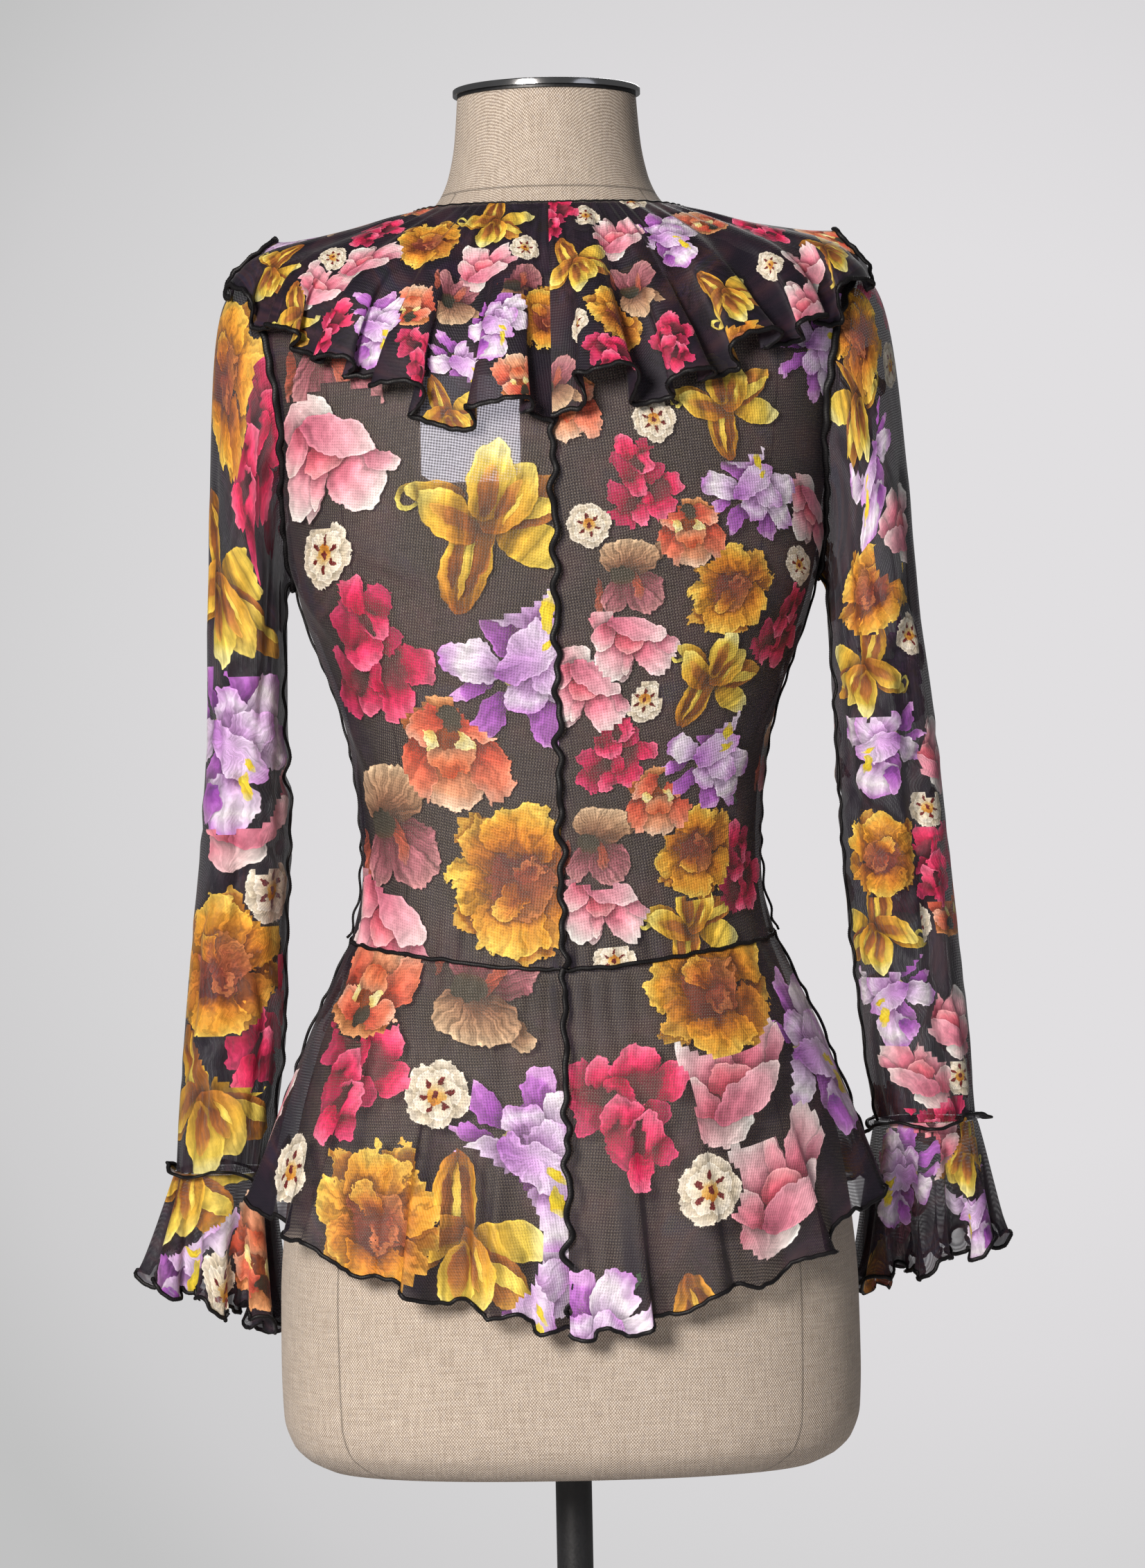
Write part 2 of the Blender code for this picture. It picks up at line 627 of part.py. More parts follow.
def main():
    for old in list(bpy.data.objects):
        bpy.data.objects.remove(old)
    linen = material("linen_cover", (0.42, 0.36, 0.29), 0.9)
    steel = material("polished_steel", (0.35, 0.35, 0.36), 0.15, metallic=1.0)
    black = material("black_coated_steel", (0.02, 0.022, 0.025), 0.4)
    mesh_cloth = material("printed_mesh", (0.05, 0.04, 0.045), 0.85)
    paper = material("white_label", (0.85, 0.85, 0.86), 0.6)
    add_form(linen)
    add_neck_cap(steel)
    add_stand(black, black)
    for side, word in ((LEFT, "left"), (RIGHT, "right")):
        add_back(side, f"back_{word}", mesh_cloth)
        add_collar(side, f"collar_{word}", mesh_cloth)
        add_sleeve(side, f"sleeve_{word}", mesh_cloth)
        add_cuff(side, f"cuff_{word}", mesh_cloth)
    add_front(mesh_cloth)
    add_peplum(mesh_cloth)
    add_label(paper)


main()
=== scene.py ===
"""The looks of a sheer printed blouse on a dress form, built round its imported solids.

The tables give sizes in millimetres, and heights above the underside of the form's torso. A turn is an angle in
degrees about the pole's axis: 0 at the centre back, 90 at the side and 180 at the centre front. A side is 1 for
the wearer's right and -1 for the left. A lift is a distance out from the form's surface.
"""

import itertools
import math
from collections import namedtuple

import bmesh
import bpy
import numpy as np
from mathutils import Matrix, Vector


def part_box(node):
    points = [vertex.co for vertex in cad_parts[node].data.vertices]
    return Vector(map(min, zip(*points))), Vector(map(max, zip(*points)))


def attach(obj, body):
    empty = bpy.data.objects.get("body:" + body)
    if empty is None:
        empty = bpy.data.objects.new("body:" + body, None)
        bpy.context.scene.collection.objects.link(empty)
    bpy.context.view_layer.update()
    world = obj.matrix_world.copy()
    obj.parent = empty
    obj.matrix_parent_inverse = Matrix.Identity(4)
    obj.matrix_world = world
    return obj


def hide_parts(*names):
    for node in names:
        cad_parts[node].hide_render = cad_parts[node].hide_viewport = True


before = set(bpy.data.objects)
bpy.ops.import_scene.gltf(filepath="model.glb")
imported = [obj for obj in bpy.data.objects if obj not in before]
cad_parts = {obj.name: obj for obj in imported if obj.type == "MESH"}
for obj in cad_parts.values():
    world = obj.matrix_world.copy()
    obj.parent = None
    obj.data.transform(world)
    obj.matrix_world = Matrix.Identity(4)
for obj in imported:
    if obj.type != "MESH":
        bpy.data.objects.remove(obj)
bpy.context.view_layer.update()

MM = 0.001
LEFT, RIGHT = -1, 1
WORDS = {LEFT: "left", RIGHT: "right"}
FORM_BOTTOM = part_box("form_torso")[0][2]  # the torso's underside above the floor

# Driving sizes, as in the solids.
NECKLINE = 753  # at the back
SHOULDER_TIP, UNDERARM = 713, 534
ARMHOLE_MIDDLE, ARMHOLE_HALF = (SHOULDER_TIP + UNDERARM) / 2, (SHOULDER_TIP - UNDERARM) / 2
WAIST_LINE = 301
NECK_POINT = 640  # the foot of the front's V neckline
NECK_HALF_WIDTH = 62  # of the V at its top
ARMHOLE_GAP = 1.1  # between a sleeve head and the panels
UNDERARM_LIFT = 1.0  # how far off the bodice a sleeve starts at the underarm

# The form's sections from its underside up: half the width, the depth behind the axis and the depth before it, and
# how square the section is, where 2 is an ellipse.
Section = namedtuple("Section", "height half_width back front squareness")
FORM = (
    Section(0, 148, 92, 88, 2.4),
    Section(6, 160, 103, 98, 2.4),
    Section(16, 169, 111, 105, 2.5),
    Section(32, 174, 115, 109, 2.5),
    Section(60, 175, 116, 110, 2.5),
    Section(105, 174.5, 117, 111, 2.5),
    Section(150, 171, 117, 111, 2.45),
    Section(200, 163, 113, 110, 2.4),
    Section(250, 149.5, 103, 106, 2.3),
    Section(290, 134, 93, 101, 2.25),
    Section(322, 123, 87, 97, 2.2),
    Section(345, 119, 84.5, 94, 2.2),
    Section(372, 117.5, 84, 92, 2.2),
    Section(400, 119, 85.5, 93, 2.2),
    Section(430, 123, 88.5, 97, 2.2),
    Section(460, 130, 92.5, 104, 2.25),
    Section(492, 141, 97.5, 114, 2.3),
    Section(524, 152, 102, 124, 2.35),
    Section(550, 158, 105.5, 130, 2.4),
    Section(580, 162, 109, 131.5, 2.45),
    Section(620, 168, 111, 122, 2.5),
    Section(660, 176, 108, 103, 2.6),
    Section(690, 182, 100, 84, 2.6),
    Section(704, 184, 94.5, 75, 2.5),
    Section(712, 181.5, 91, 71, 2.4),
    Section(719, 172, 87.5, 67, 2.35),
    Section(727, 149, 83, 61.5, 2.3),
    Section(735, 124, 78, 56.5, 2.25),
    Section(743, 101, 73, 52.5, 2.2),
    Section(750, 84, 68.5, 50, 2.15),
    Section(758, 72, 64, 48, 2.1),
    Section(766, 65.5, 60.5, 47.5, 2.1),
    Section(778, 60.5, 57.5, 48, 2.05),
    Section(798, 56.5, 54.5, 49.5, 2.0),
    Section(828, 54, 52.5, 51.5, 2.0),
)
# How far the bodice stands off the form.
Ease = namedtuple("Ease", "height lift")
BODICE_EASE = (
    Ease(290, 2.8), Ease(350, 2.2), Ease(460, 2.4), Ease(560, 3.0), Ease(650, 3.0), Ease(700, 3.8), Ease(718, 3.6),
    Ease(760, 2.6),
)
# How far an armhole's edge leans from the side to the back and to the front, in degrees, at angles round it that
# start from the shoulder tip.
Armhole = namedtuple("Armhole", "around back front")
ARMHOLE = (
    Armhole(0, 0, 0), Armhole(15, 8, 9), Armhole(30, 14, 16), Armhole(50, 18, 21), Armhole(75, 19, 23),
    Armhole(95, 17, 21), Armhole(115, 11, 15), Armhole(135, 6, 9), Armhole(155, 2.5, 4), Armhole(180, 0, 0),
)
# The heights of the waist seam and of the peplum's hem on each side.
Waist = namedtuple("Waist", "turn seam hem_left hem_right")
WAIST = (
    Waist(0, 301, 91, 90), Waist(16, 302, 104, 94), Waist(32, 305, 114, 111), Waist(48, 309, 129, 121),
    Waist(64, 313, 152, 152), Waist(78, 316, 160, 164), Waist(90, 318, 162, 167), Waist(112, 318, 161, 164),
    Waist(140, 315, 151, 152), Waist(180, 312, 142, 142),
)
# How far the peplum stands off the form, at shares of the way from its seam to its hem.
Flare = namedtuple("Flare", "share back front")
FLARE = (Flare(0.0, 2.8, 2.8), Flare(0.12, 4.5, 4.5), Flare(0.3, 7.5, 6.5), Flare(0.6, 10.5, 8), Flare(1.0, 14, 9))
SIDE_TURNS = (80, 112)  # between these the peplum's flare changes from the back's to the front's
# Folds of the peplum: half the width in degrees, how far each stands out at the hem, and the share of the way down
# at which it starts.
Fold = namedtuple("Fold", "turn width height start")
PEPLUM_FOLDS = {
    LEFT: (
        Fold(11, 6, 8, 0.25), Fold(29, 8, 5, 0.1), Fold(47, 7, 7, 0.15), Fold(67, 9, 6, 0.2), Fold(132, 9, 8, 0.15),
        Fold(158, 10, 8, 0.2),
    ),
    RIGHT: (
        Fold(9, 6, 6, 0.2), Fold(25, 8, 7, 0.15), Fold(44, 8, 5, 0.15), Fold(63, 8, 7, 0.2), Fold(134, 9, 8, 0.15),
        Fold(160, 10, 8, 0.2),
    ),
}
# The lines of the collar's neck edge and hem, at shares of its length from the centre back to the centre front.
Collar = namedtuple("Collar", "share neck_turn neck_height hem_turn hem_height hem_lift")
COLLAR = (
    Collar(0.00, 0, 752.5, 0, 625, 3),
    Collar(0.08, 12, 752.5, 15, 628, 3),
    Collar(0.17, 26, 752.5, 33, 639, 3),
    Collar(0.26, 40, 752.5, 47, 655, 3),
    Collar(0.35, 56, 752.5, 59.5, 671, 3.5),
    Collar(0.43, 73, 752.5, 70.5, 690, 5),
    Collar(0.50, 90, 752.5, 89, 715, 7),
    Collar(0.58, 115, 752.5, 110, 702, 6.5),
    Collar(0.67, 121, 736, 123, 660, 3.5),
    Collar(0.76, 135, 711, 137, 624, 3),
    Collar(0.85, 150, 685, 151, 598, 3),
    Collar(0.93, 164, 661, 165, 581, 3),
    Collar(1.00, 179.5, 640, 178.6, 572, 3),
)
COLLAR_LIFT = 2.0  # from the bodice to the collar, at the neckline
COLLAR_FRONT = 0.58  # the share from which the neck edge follows the V
# The collar's flutes, from the centre back round to the centre front: its troughs and crests by turns, where each
# meets the hem, how far it stands out there and how far the hem rises at it.
Ripple = namedtuple("Ripple", "share stand rise")
RIPPLES = {
    LEFT: (
        Ripple(0.000, 1, -2), Ripple(0.082, 20, 4), Ripple(0.150, 2, -16), Ripple(0.222, 15, -3),
        Ripple(0.262, 2, -6), Ripple(0.310, 12, -3), Ripple(0.345, 2, -5), Ripple(0.390, 10, 2), Ripple(0.420, 2, -3),
        Ripple(0.448, 11, 5), Ripple(0.475, 1, -3), Ripple(0.505, 8, 7), Ripple(0.540, 1, -2), Ripple(0.580, 12, 5),
        Ripple(0.615, 1, -3), Ripple(0.655, 15, 6), Ripple(0.690, 1, -4), Ripple(0.730, 16, 7), Ripple(0.770, 1, -4),
        Ripple(0.810, 14, 6), Ripple(0.848, 1, -4), Ripple(0.888, 15, 6), Ripple(0.925, 1, -3), Ripple(0.960, 10, 4),
        Ripple(1.000, 1, 0),
    ),
    RIGHT: (
        Ripple(0.000, 1, -2), Ripple(0.088, 27, 20), Ripple(0.143, 2, -5), Ripple(0.190, 17, 4),
        Ripple(0.237, 1, -5), Ripple(0.283, 15, 9), Ripple(0.335, 1, -4), Ripple(0.375, 12, 4), Ripple(0.405, 1, -4),
        Ripple(0.440, 13, 6), Ripple(0.470, 1, -3), Ripple(0.504, 9, 8), Ripple(0.538, 1, -2), Ripple(0.575, 13, 5),
        Ripple(0.612, 1, -4), Ripple(0.652, 15, 7), Ripple(0.690, 1, -4), Ripple(0.728, 13, 6), Ripple(0.765, 1, -3),
        Ripple(0.805, 16, 7), Ripple(0.845, 1, -4), Ripple(0.885, 14, 6), Ripple(0.922, 1, -3), Ripple(0.960, 10, 4),
        Ripple(1.000, 1, 0),
    ),
}
HEM_LENGTH = 560  # of half the collar, before its flutes
OVERHANG = 0.115  # how far each side of a flute leans over at the hem, as a share of the way to the next flute
WIDEST_WAY = 95  # flutes that are further apart than this lean over no further
HEM_CURL = 2.0  # how far a collar's hem wriggles between its flutes
COLLAR_HEM_AT_CENTRE = 640  # above it, the thick centre back seam is pressed flat
# Sections of a hanging sleeve: how far out from the axis and how far ahead of it the middle lies, and half the width
# and depth.
Arm = namedtuple("Arm", "height out ahead half_width half_depth")
SLEEVES = {
    LEFT: (
        Arm(506, 188, 6, 24, 55), Arm(457, 189, 10, 24, 53), Arm(389, 191.5, 20, 27, 50), Arm(322, 197.5, 32, 29, 48),
        Arm(255, 203, 43, 31, 45), Arm(205, 209, 50, 30, 42), Arm(177, 212, 52, 29, 40),
    ),
    RIGHT: (
        Arm(506, 192.5, 6, 28, 55), Arm(457, 197, 10, 30, 53), Arm(389, 202, 20, 32, 50), Arm(322, 208, 32, 33, 48),
        Arm(255, 215, 43, 33, 45), Arm(225, 218, 48, 32, 43), Arm(200, 221, 51, 31, 41),
    ),
}
SLEEVE_SQUARENESS = 2.3
UNDERARM_REACH = 8  # how far a sleeve reaches out at the underarm before it bends down
HEAD_REACH = 15  # how much further its head reaches out at the shoulder tip
HEAD_DROP = 0.72  # how high above the underarm its shape is set, as a share of the armhole's height there
HEAD_LEAN = {LEFT: 7, RIGHT: 11}  # how far its outer side then leans in
# The long creases down a sleeve: the angle round it, from its outer side by the back.
Crease = namedtuple("Crease", "around width depth top bottom")
SLEEVE_CREASES = {
    LEFT: (Crease(88, 24, 6, 480, 190), Crease(268, 26, 5, 520, 200)),
    RIGHT: (Crease(66, 24, 6.5, 520, 215), Crease(262, 26, 5, 500, 220)),
}
# A cuff's frill at its hem: where its middle lies, half its width and depth, the hem's height, and how far the hem
# rises to its outer side.
Frill = namedtuple("Frill", "out ahead half_width half_depth hem slant")
FRILLS = {LEFT: Frill(219, 68, 38, 46, 97, 16), RIGHT: Frill(222, 66, 43, 47, 113, 14)}
FRILL_WAVES = 8
FRILL_WAVE = 7.5  # half the height of a wave at the hem
HEM_CURLS = 26  # along a cuff's hem
SEAM_DROP = 0.8  # from a waist or wrist seam to where the cloth below it starts
SLEEVE_SEAM = 163  # the angle round a sleeve where its seam lies, a little to the back of its inner side

# How finely the visible cloth is drawn: the step between its points, or the points along and down a piece.
CLOTH_STEP = 3.5
ARMHOLE_ROWS, SHOULDER_ROWS, BODICE_COLUMNS = 60, 23, 64
PEPLUM_ROWS, PEPLUM_FINENESS = 56, 1.5
COLLAR_COLUMNS, COLLAR_ROWS = 420, 44
SLEEVE_COLUMNS, SLEEVE_HEAD_ROWS = 112, 43
FRILL_COLUMNS, FRILL_ROWS = 300, 34
RUFFLE_COLUMNS, RUFFLE_ROWS = 220, 6


# ------------------------------------------------------------------ curves and surfaces, as in the solids


def smooth(known_at, values, at):
    """The values at some places, on a smooth curve through the known ones that never overshoots them."""
    known_at, values = np.asarray(known_at, float), np.asarray(values, float)
    gap = np.diff(known_at)
    rise = np.diff(values) / gap
    slope = np.concatenate([rise[:1], np.zeros(len(rise) - 1), rise[-1:]])
    product = rise[:-1] * rise[1:]
    total = np.where(product > 0, rise[:-1] + rise[1:], 1)
    slope[1:-1] = np.where(product > 0, 2 * product / total, 0)
    at = np.clip(at, known_at[0], known_at[-1])
    i = np.clip(np.searchsorted(known_at, at, side="right") - 1, 0, len(gap) - 1)
    t = (at - known_at[i]) / gap[i]
    return (
        values[i] * (1 + 2 * t) * (1 - t) ** 2
        + slope[i] * gap[i] * t * (1 - t) ** 2
        + values[i + 1] * t * t * (3 - 2 * t)
        + slope[i + 1] * gap[i] * t * t * (t - 1)
    )


def read(table, column, at):
    """A column of a table, read at some values of the table's first column."""
    key = table[0]._fields[0]
    rows = sorted(table, key=lambda row: getattr(row, key))
    return smooth([getattr(row, key) for row in rows], [getattr(row, column) for row in rows], at)


def form_point(side, turn, height):
    """Points of the dress form's surface."""
    turn, height = np.broadcast_arrays(np.radians(turn), np.asarray(height, float))
    half_width, back, front, squareness = (read(FORM, name, height) for name in Section._fields[1:])
    across, ahead = np.sin(turn), -np.cos(turn)
    depth = np.where(ahead < 0, back, front)
    reach = ((np.abs(across) / half_width) ** squareness + (np.abs(ahead) / depth) ** squareness) ** (-1 / squareness)
    return np.stack([side * reach * across, reach * ahead, height], -1)


def lifted(side, turn, height, lift):
    """Points that lie a distance off the form."""
    small = 0.5
    across = form_point(side, turn + small, height) - form_point(side, turn - small, height)
    up = form_point(side, turn, height + small) - form_point(side, turn, height - small)
    normal = np.cross(across, up) * side
    normal /= np.linalg.norm(normal, axis=-1, keepdims=True)
    return form_point(side, turn, height) + normal * np.asarray(lift)[..., None]


def bodice_lift(height):
    """How far the bodice stands off the form at a height."""
    return read(BODICE_EASE, "lift", height)


def armhole_height(around):
    """The height at an angle round an armhole, from the shoulder tip."""
    return ARMHOLE_MIDDLE + ARMHOLE_HALF * np.cos(np.radians(around))


def armhole_lean(height, face):
    """How far the armhole's edge leans from the side towards the back or the front, at a height."""
    around = np.degrees(np.arccos(np.clip((height - ARMHOLE_MIDDLE) / ARMHOLE_HALF, -1, 1)))
    return read(ARMHOLE, face, around)


def neckline_turn(height):
    """The turn of the front's V neckline at a height, on the right side."""
    share = np.clip((height - NECK_POINT) / (NECKLINE - NECK_POINT), 0, 1)
    turns = np.linspace(90, 180, 181)
    outs = lifted(RIGHT, turns, height, bodice_lift(height))[..., 0]
    return np.interp(-NECK_HALF_WIDTH * share**0.9, -outs, turns)


def bump(away, width):
    """A soft bump, 1 in its middle, which has faded at twice its width."""
    return np.exp(-((away / width) ** 2))


# ------------------------------------------------------------------ the cloth's shape


def bodice_heights():
    """Rows from the waist seam up, before the seam's own rise, closer together over the shoulder."""
    below = np.arange(WAIST_LINE, UNDERARM, CLOTH_STEP)
    beside = armhole_height(np.linspace(180, 0, ARMHOLE_ROWS))
    above = np.linspace(SHOULDER_TIP, NECKLINE, SHOULDER_ROWS + 1)[1:]
    return np.concatenate([below, beside, above])


def bodice_grid(side, start, end):
    """A panel's points, row by row from the waist seam up. start and end give its turns at each row."""
    share = np.linspace(0, 1, BODICE_COLUMNS)
    rows = []
    for nominal, first, last in zip(bodice_heights(), start, end):
        turn = first + (last - first) * share
        above_waist = read(WAIST, "seam", turn) - WAIST_LINE
        height = nominal + above_waist * max(UNDERARM - nominal, 0) / (UNDERARM - WAIST_LINE)
        rows.append(lifted(side, turn, height, bodice_lift(height) + bodice_creases(side, turn, height, nominal)))
    return np.array(rows)


# Soft drag lines in the bodice: the turn and height of the middle of each, half its length and width, how far it
# leans from upright in degrees and how far it stands off.
Drag = namedtuple("Drag", "turn height length width lean rise")
DRAGS = {
    LEFT: (
        Drag(66, 500, 60, 7, 40, 2.6), Drag(74, 440, 70, 8, 25, 2.4), Drag(50, 545, 45, 6, 60, 1.8),
        Drag(60, 350, 40, 7, -20, 2.0), Drag(35, 335, 35, 6, 15, 1.5), Drag(80, 375, 50, 7, 10, 2.6),
        Drag(112, 510, 60, 7, -40, 2.6), Drag(104, 430, 60, 8, -20, 2.4), Drag(150, 360, 50, 9, 15, 2.0),
    ),
    RIGHT: (
        Drag(62, 510, 55, 7, 45, 2.4), Drag(72, 450, 70, 8, 30, 2.6), Drag(48, 560, 45, 6, 55, 1.8),
        Drag(56, 345, 40, 7, -25, 2.0), Drag(30, 340, 35, 6, 20, 1.5), Drag(82, 380, 50, 7, 8, 2.4),
        Drag(110, 505, 60, 7, -42, 2.6), Drag(102, 425, 60, 8, -24, 2.4), Drag(148, 350, 50, 9, 18, 2.0),
    ),
}
MM_PER_TURN = 2.1  # of cloth, for each degree about the axis
# Narrow folds that break over between the peplum's main ones.
PLEATS = {
    LEFT: (
        Fold(5, 2.4, 7, 0.45), Fold(17, 2.8, 11, 0.30), Fold(22, 2.2, 6, 0.10), Fold(35, 2.6, 10, 0.05),
        Fold(41, 2.4, 7, 0.20), Fold(54, 2.8, 10, 0.05), Fold(60, 2.6, 8, 0.30), Fold(75, 2.8, 9, 0.20),
        Fold(84, 2.6, 8, 0.40),
    ),
    RIGHT: (
        Fold(3.5, 2.4, 6, 0.50), Fold(16, 2.8, 10, 0.15), Fold(33, 2.6, 9, 0.10), Fold(38, 2.4, 6, 0.30),
        Fold(53, 2.8, 10, 0.20), Fold(71, 2.8, 9, 0.30), Fold(78, 2.6, 8, 0.40), Fold(84, 2.4, 7, 0.50),
        Fold(88, 2.2, 6, 0.60),
    ),
}
FOLD_LEAN = 0.85  # how far a fold is pushed sideways, as a share of its height
# How far finer folds stand out: puckers along a seam, gathers below and above one, and the flutter of a hem.
SEAM_PUCKER, WAIST_GATHER = 1.3, 1.8
PEPLUM_GATHER, PEPLUM_FLUTTER, CENTRE_FLUTTER = 1.6, 2.8, 3.4
COLLAR_GATHER = 1.6
WRIST_GATHER = 1.6
# How far a hem's flutter moves it up and down, and sideways.
PEPLUM_HEM_RISE, PEPLUM_HEM_SWAY = 3.4, 1.5
COLLAR_GATHERS, COLLAR_CURLS, COLLAR_RISES = 190, 170, 131  # in radians along half the collar
# A cuff's hem: how far its curls stand out, how far they and the waves lean over, and how far both lift the hem.
CURL_REACH, CURL_OVERHANG, WAVE_OVERHANG, CURL_RISE, WAVE_RISE = 3.0, 1.6, 4.8, 3.5, 5
WRIST_GATHERS = 17  # round a sleeve's end


def bodice_creases(side, turn, height, nominal):
    """Extra lift of the bodice: drag lines, puckers beside the centre back seam and gathers over the waist."""
    extra = 0
    for drag in DRAGS[side]:
        across, up = (turn - drag.turn) * MM_PER_TURN, height - drag.height
        lean = math.radians(drag.lean)
        along = up * math.cos(lean) + across * math.sin(lean)
        beside = across * math.cos(lean) - up * math.sin(lean)
        extra = extra + drag.rise * bump(along, drag.length) * bump(beside, drag.width)
    back = turn < 90
    pucker = 0.5 + 0.5 * np.sin(height / 3.7 + 1.3 * np.sin(height / 23))
    extra = extra + np.where(back, SEAM_PUCKER * pucker * bump(turn * MM_PER_TURN, 9), 0)
    gather = 0.5 + 0.5 * np.sin(turn * 0.78 + 1.1 * np.sin(turn / 7))
    return extra + WAIST_GATHER * gather * bump(nominal - WAIST_LINE, 26)


def back_grid(side):
    """Half the back, from the centre back to the side seam and the armhole."""
    heights = bodice_heights()
    return bodice_grid(side, np.zeros(len(heights)), 90 - armhole_lean(heights, "back"))


def front_grid():
    """The front from side to side. Its two middle columns meet at the centre line, and part above it for the V."""
    heights = bodice_heights()
    start = np.array([180 if height <= NECK_POINT else neckline_turn(height) for height in heights])
    end = 90 + armhole_lean(heights, "front")
    left, right = (bodice_grid(side, start, end) for side in (LEFT, RIGHT))
    return np.concatenate([left[:, ::-1], right], axis=1)


def peplum_grid(side, first, last):
    """The peplum from the waist seam down to its hem, between two turns."""
    columns = int(abs(last - first) * MM_PER_TURN * PEPLUM_FINENESS / CLOTH_STEP) + 1
    turn, share = np.meshgrid(np.linspace(first, last, columns), np.linspace(0, 1, PEPLUM_ROWS))
    seam, hem = read(WAIST, "seam", turn), read(WAIST, "hem_left" if side == LEFT else "hem_right", turn)
    height = seam - SEAM_DROP + (hem - seam + SEAM_DROP) * share
    to_front = np.clip((turn - SIDE_TURNS[0]) / (SIDE_TURNS[1] - SIDE_TURNS[0]), 0, 1)
    lift = read(FLARE, "back", share) * (1 - to_front) + read(FLARE, "front", share) * to_front
    stand = 0
    for fold in PEPLUM_FOLDS[side] + PLEATS[side]:
        grown = np.clip((share - fold.start) / (1 - fold.start), 0, 1) ** 1.2
        stand = stand + fold.height * grown * bump(turn - fold.turn, fold.width)
    gather = 0.5 + 0.5 * np.sin(turn * 0.9 + side + 1.4 * np.sin(turn / 9))
    lift = lift + stand + PEPLUM_GATHER * gather * bump(share, 0.3) * np.clip(share / 0.05, 0, 1)
    near_seam = bump(turn * MM_PER_TURN, 12) * share**2
    curl = turn * 0.62 + side + 1.7 * np.sin(turn / 11)
    lift = lift + PEPLUM_FLUTTER * np.sin(curl) * share**6
    lift = lift + CENTRE_FLUTTER * near_seam * (0.5 + 0.5 * np.sin(height / 9 + side))
    ends = np.sin(np.pi * (turn - first) / (last - first)) ** 0.3
    sideways = FOLD_LEAN * stand * ends + PEPLUM_HEM_SWAY * np.sin(2 * curl) * share**6 * ends
    height = height + PEPLUM_HEM_RISE * np.sin(curl * 0.8 + 2) * share**5
    return lifted(side, turn + sideways / MM_PER_TURN, height, lift)


def collar_grid(side):
    """Half the collar, from the neckline down to its fluted hem."""
    along, down = np.linspace(0, 1, COLLAR_COLUMNS), np.linspace(0, 1, COLLAR_ROWS)
    neck_turn, neck_height, hem_turn, hem_height, hem_lift = (
        read(COLLAR, name, along) for name in Collar._fields[1:]
    )
    on_v = along >= COLLAR_FRONT
    neck_turn[on_v] = [neckline_turn(height) for height in neck_height[on_v]]
    neck_turn = np.minimum(neck_turn, COLLAR[-1].neck_turn)
    along, down = np.meshgrid(along, down)
    table = RIPPLES[side]
    stand, rise = read(table, "stand", along), read(table, "rise", along)
    phase = np.pi * smooth([ripple.share for ripple in table], range(len(table)), along)
    apart = 2 * np.pi * HEM_LENGTH / np.gradient(phase, along[0], axis=1)
    shift = OVERHANG * np.minimum(apart, WIDEST_WAY) * np.sin(2 * phase) * down**1.8
    turn = neck_turn + (hem_turn - neck_turn) * down + shift / MM_PER_TURN
    height = neck_height + (hem_height - neck_height) * down
    lift = bodice_lift(height) + COLLAR_LIFT + (hem_lift - COLLAR_LIFT) * down**0.6 + stand * down
    gather = 0.5 + 0.5 * np.sin(along * COLLAR_GATHERS + 2.0 * np.sin(along * 31))
    lift = lift + COLLAR_GATHER * gather * bump(down - 0.15, 0.15)
    wriggle = np.sin(along * COLLAR_CURLS + side + 2.2 * np.sin(along * 23))
    lift = lift + HEM_CURL * (wriggle * 0.5 + 0.5) * down**9
    height = height + rise * down**3 + HEM_CURL * np.sin(along * COLLAR_RISES + side) * down**9
    return lifted(side, turn, height, lift)


# Wrinkles across a sleeve: the angle round it and the height of the middle of each, half its length and width, how
# far it leans from level in degrees and how deep it is.
Wrinkle = namedtuple("Wrinkle", "around height length width lean depth")
WRINKLES = {
    LEFT: (
        Wrinkle(70, 470, 34, 5, 38, 3.0), Wrinkle(110, 440, 38, 5, -30, 2.6), Wrinkle(60, 405, 34, 5, 25, 3.2),
        Wrinkle(120, 380, 36, 5, -24, 2.8), Wrinkle(75, 350, 34, 5, 35, 2.6), Wrinkle(100, 300, 36, 6, -34, 2.4),
        Wrinkle(60, 255, 30, 5, 28, 2.4), Wrinkle(110, 225, 30, 4, -20, 2.2), Wrinkle(240, 400, 40, 6, 26, 2.6),
        Wrinkle(290, 350, 40, 6, -28, 2.6), Wrinkle(250, 290, 40, 6, 24, 2.4), Wrinkle(60, 600, 40, 7, 60, 2.4),
        Wrinkle(300, 590, 40, 7, -60, 2.4), Wrinkle(190, 420, 40, 6, 12, 2.6),
    ),
    RIGHT: (
        Wrinkle(80, 480, 34, 5, -40, 3.0), Wrinkle(115, 450, 38, 5, 28, 2.8), Wrinkle(60, 420, 34, 5, -22, 3.0),
        Wrinkle(105, 385, 38, 5, 32, 3.0), Wrinkle(70, 350, 34, 5, -30, 2.6), Wrinkle(115, 310, 36, 6, 26, 2.6),
        Wrinkle(65, 265, 30, 5, -26, 2.4), Wrinkle(105, 240, 30, 4, 22, 2.2), Wrinkle(245, 410, 40, 6, 26, 2.6),
        Wrinkle(285, 340, 40, 6, -28, 2.6), Wrinkle(255, 280, 40, 6, 24, 2.4), Wrinkle(55, 605, 40, 7, 58, 2.4),
        Wrinkle(305, 595, 40, 7, -58, 2.4), Wrinkle(185, 400, 40, 6, 10, 2.6),
    ),
}
SLEEVE_RADIUS = 42  # a mean one, for turning an angle round a sleeve into a length
SLACK = {LEFT: (38, 62, 92, 118, 146, 214, 244, 276, 318), RIGHT: (34, 58, 84, 112, 142, 210, 240, 280, 322)}
SLACK_DEPTH, SLACK_WIDTH = 3.2, 8.0  # of the long folds down a sleeve, in millimetres and in degrees round it


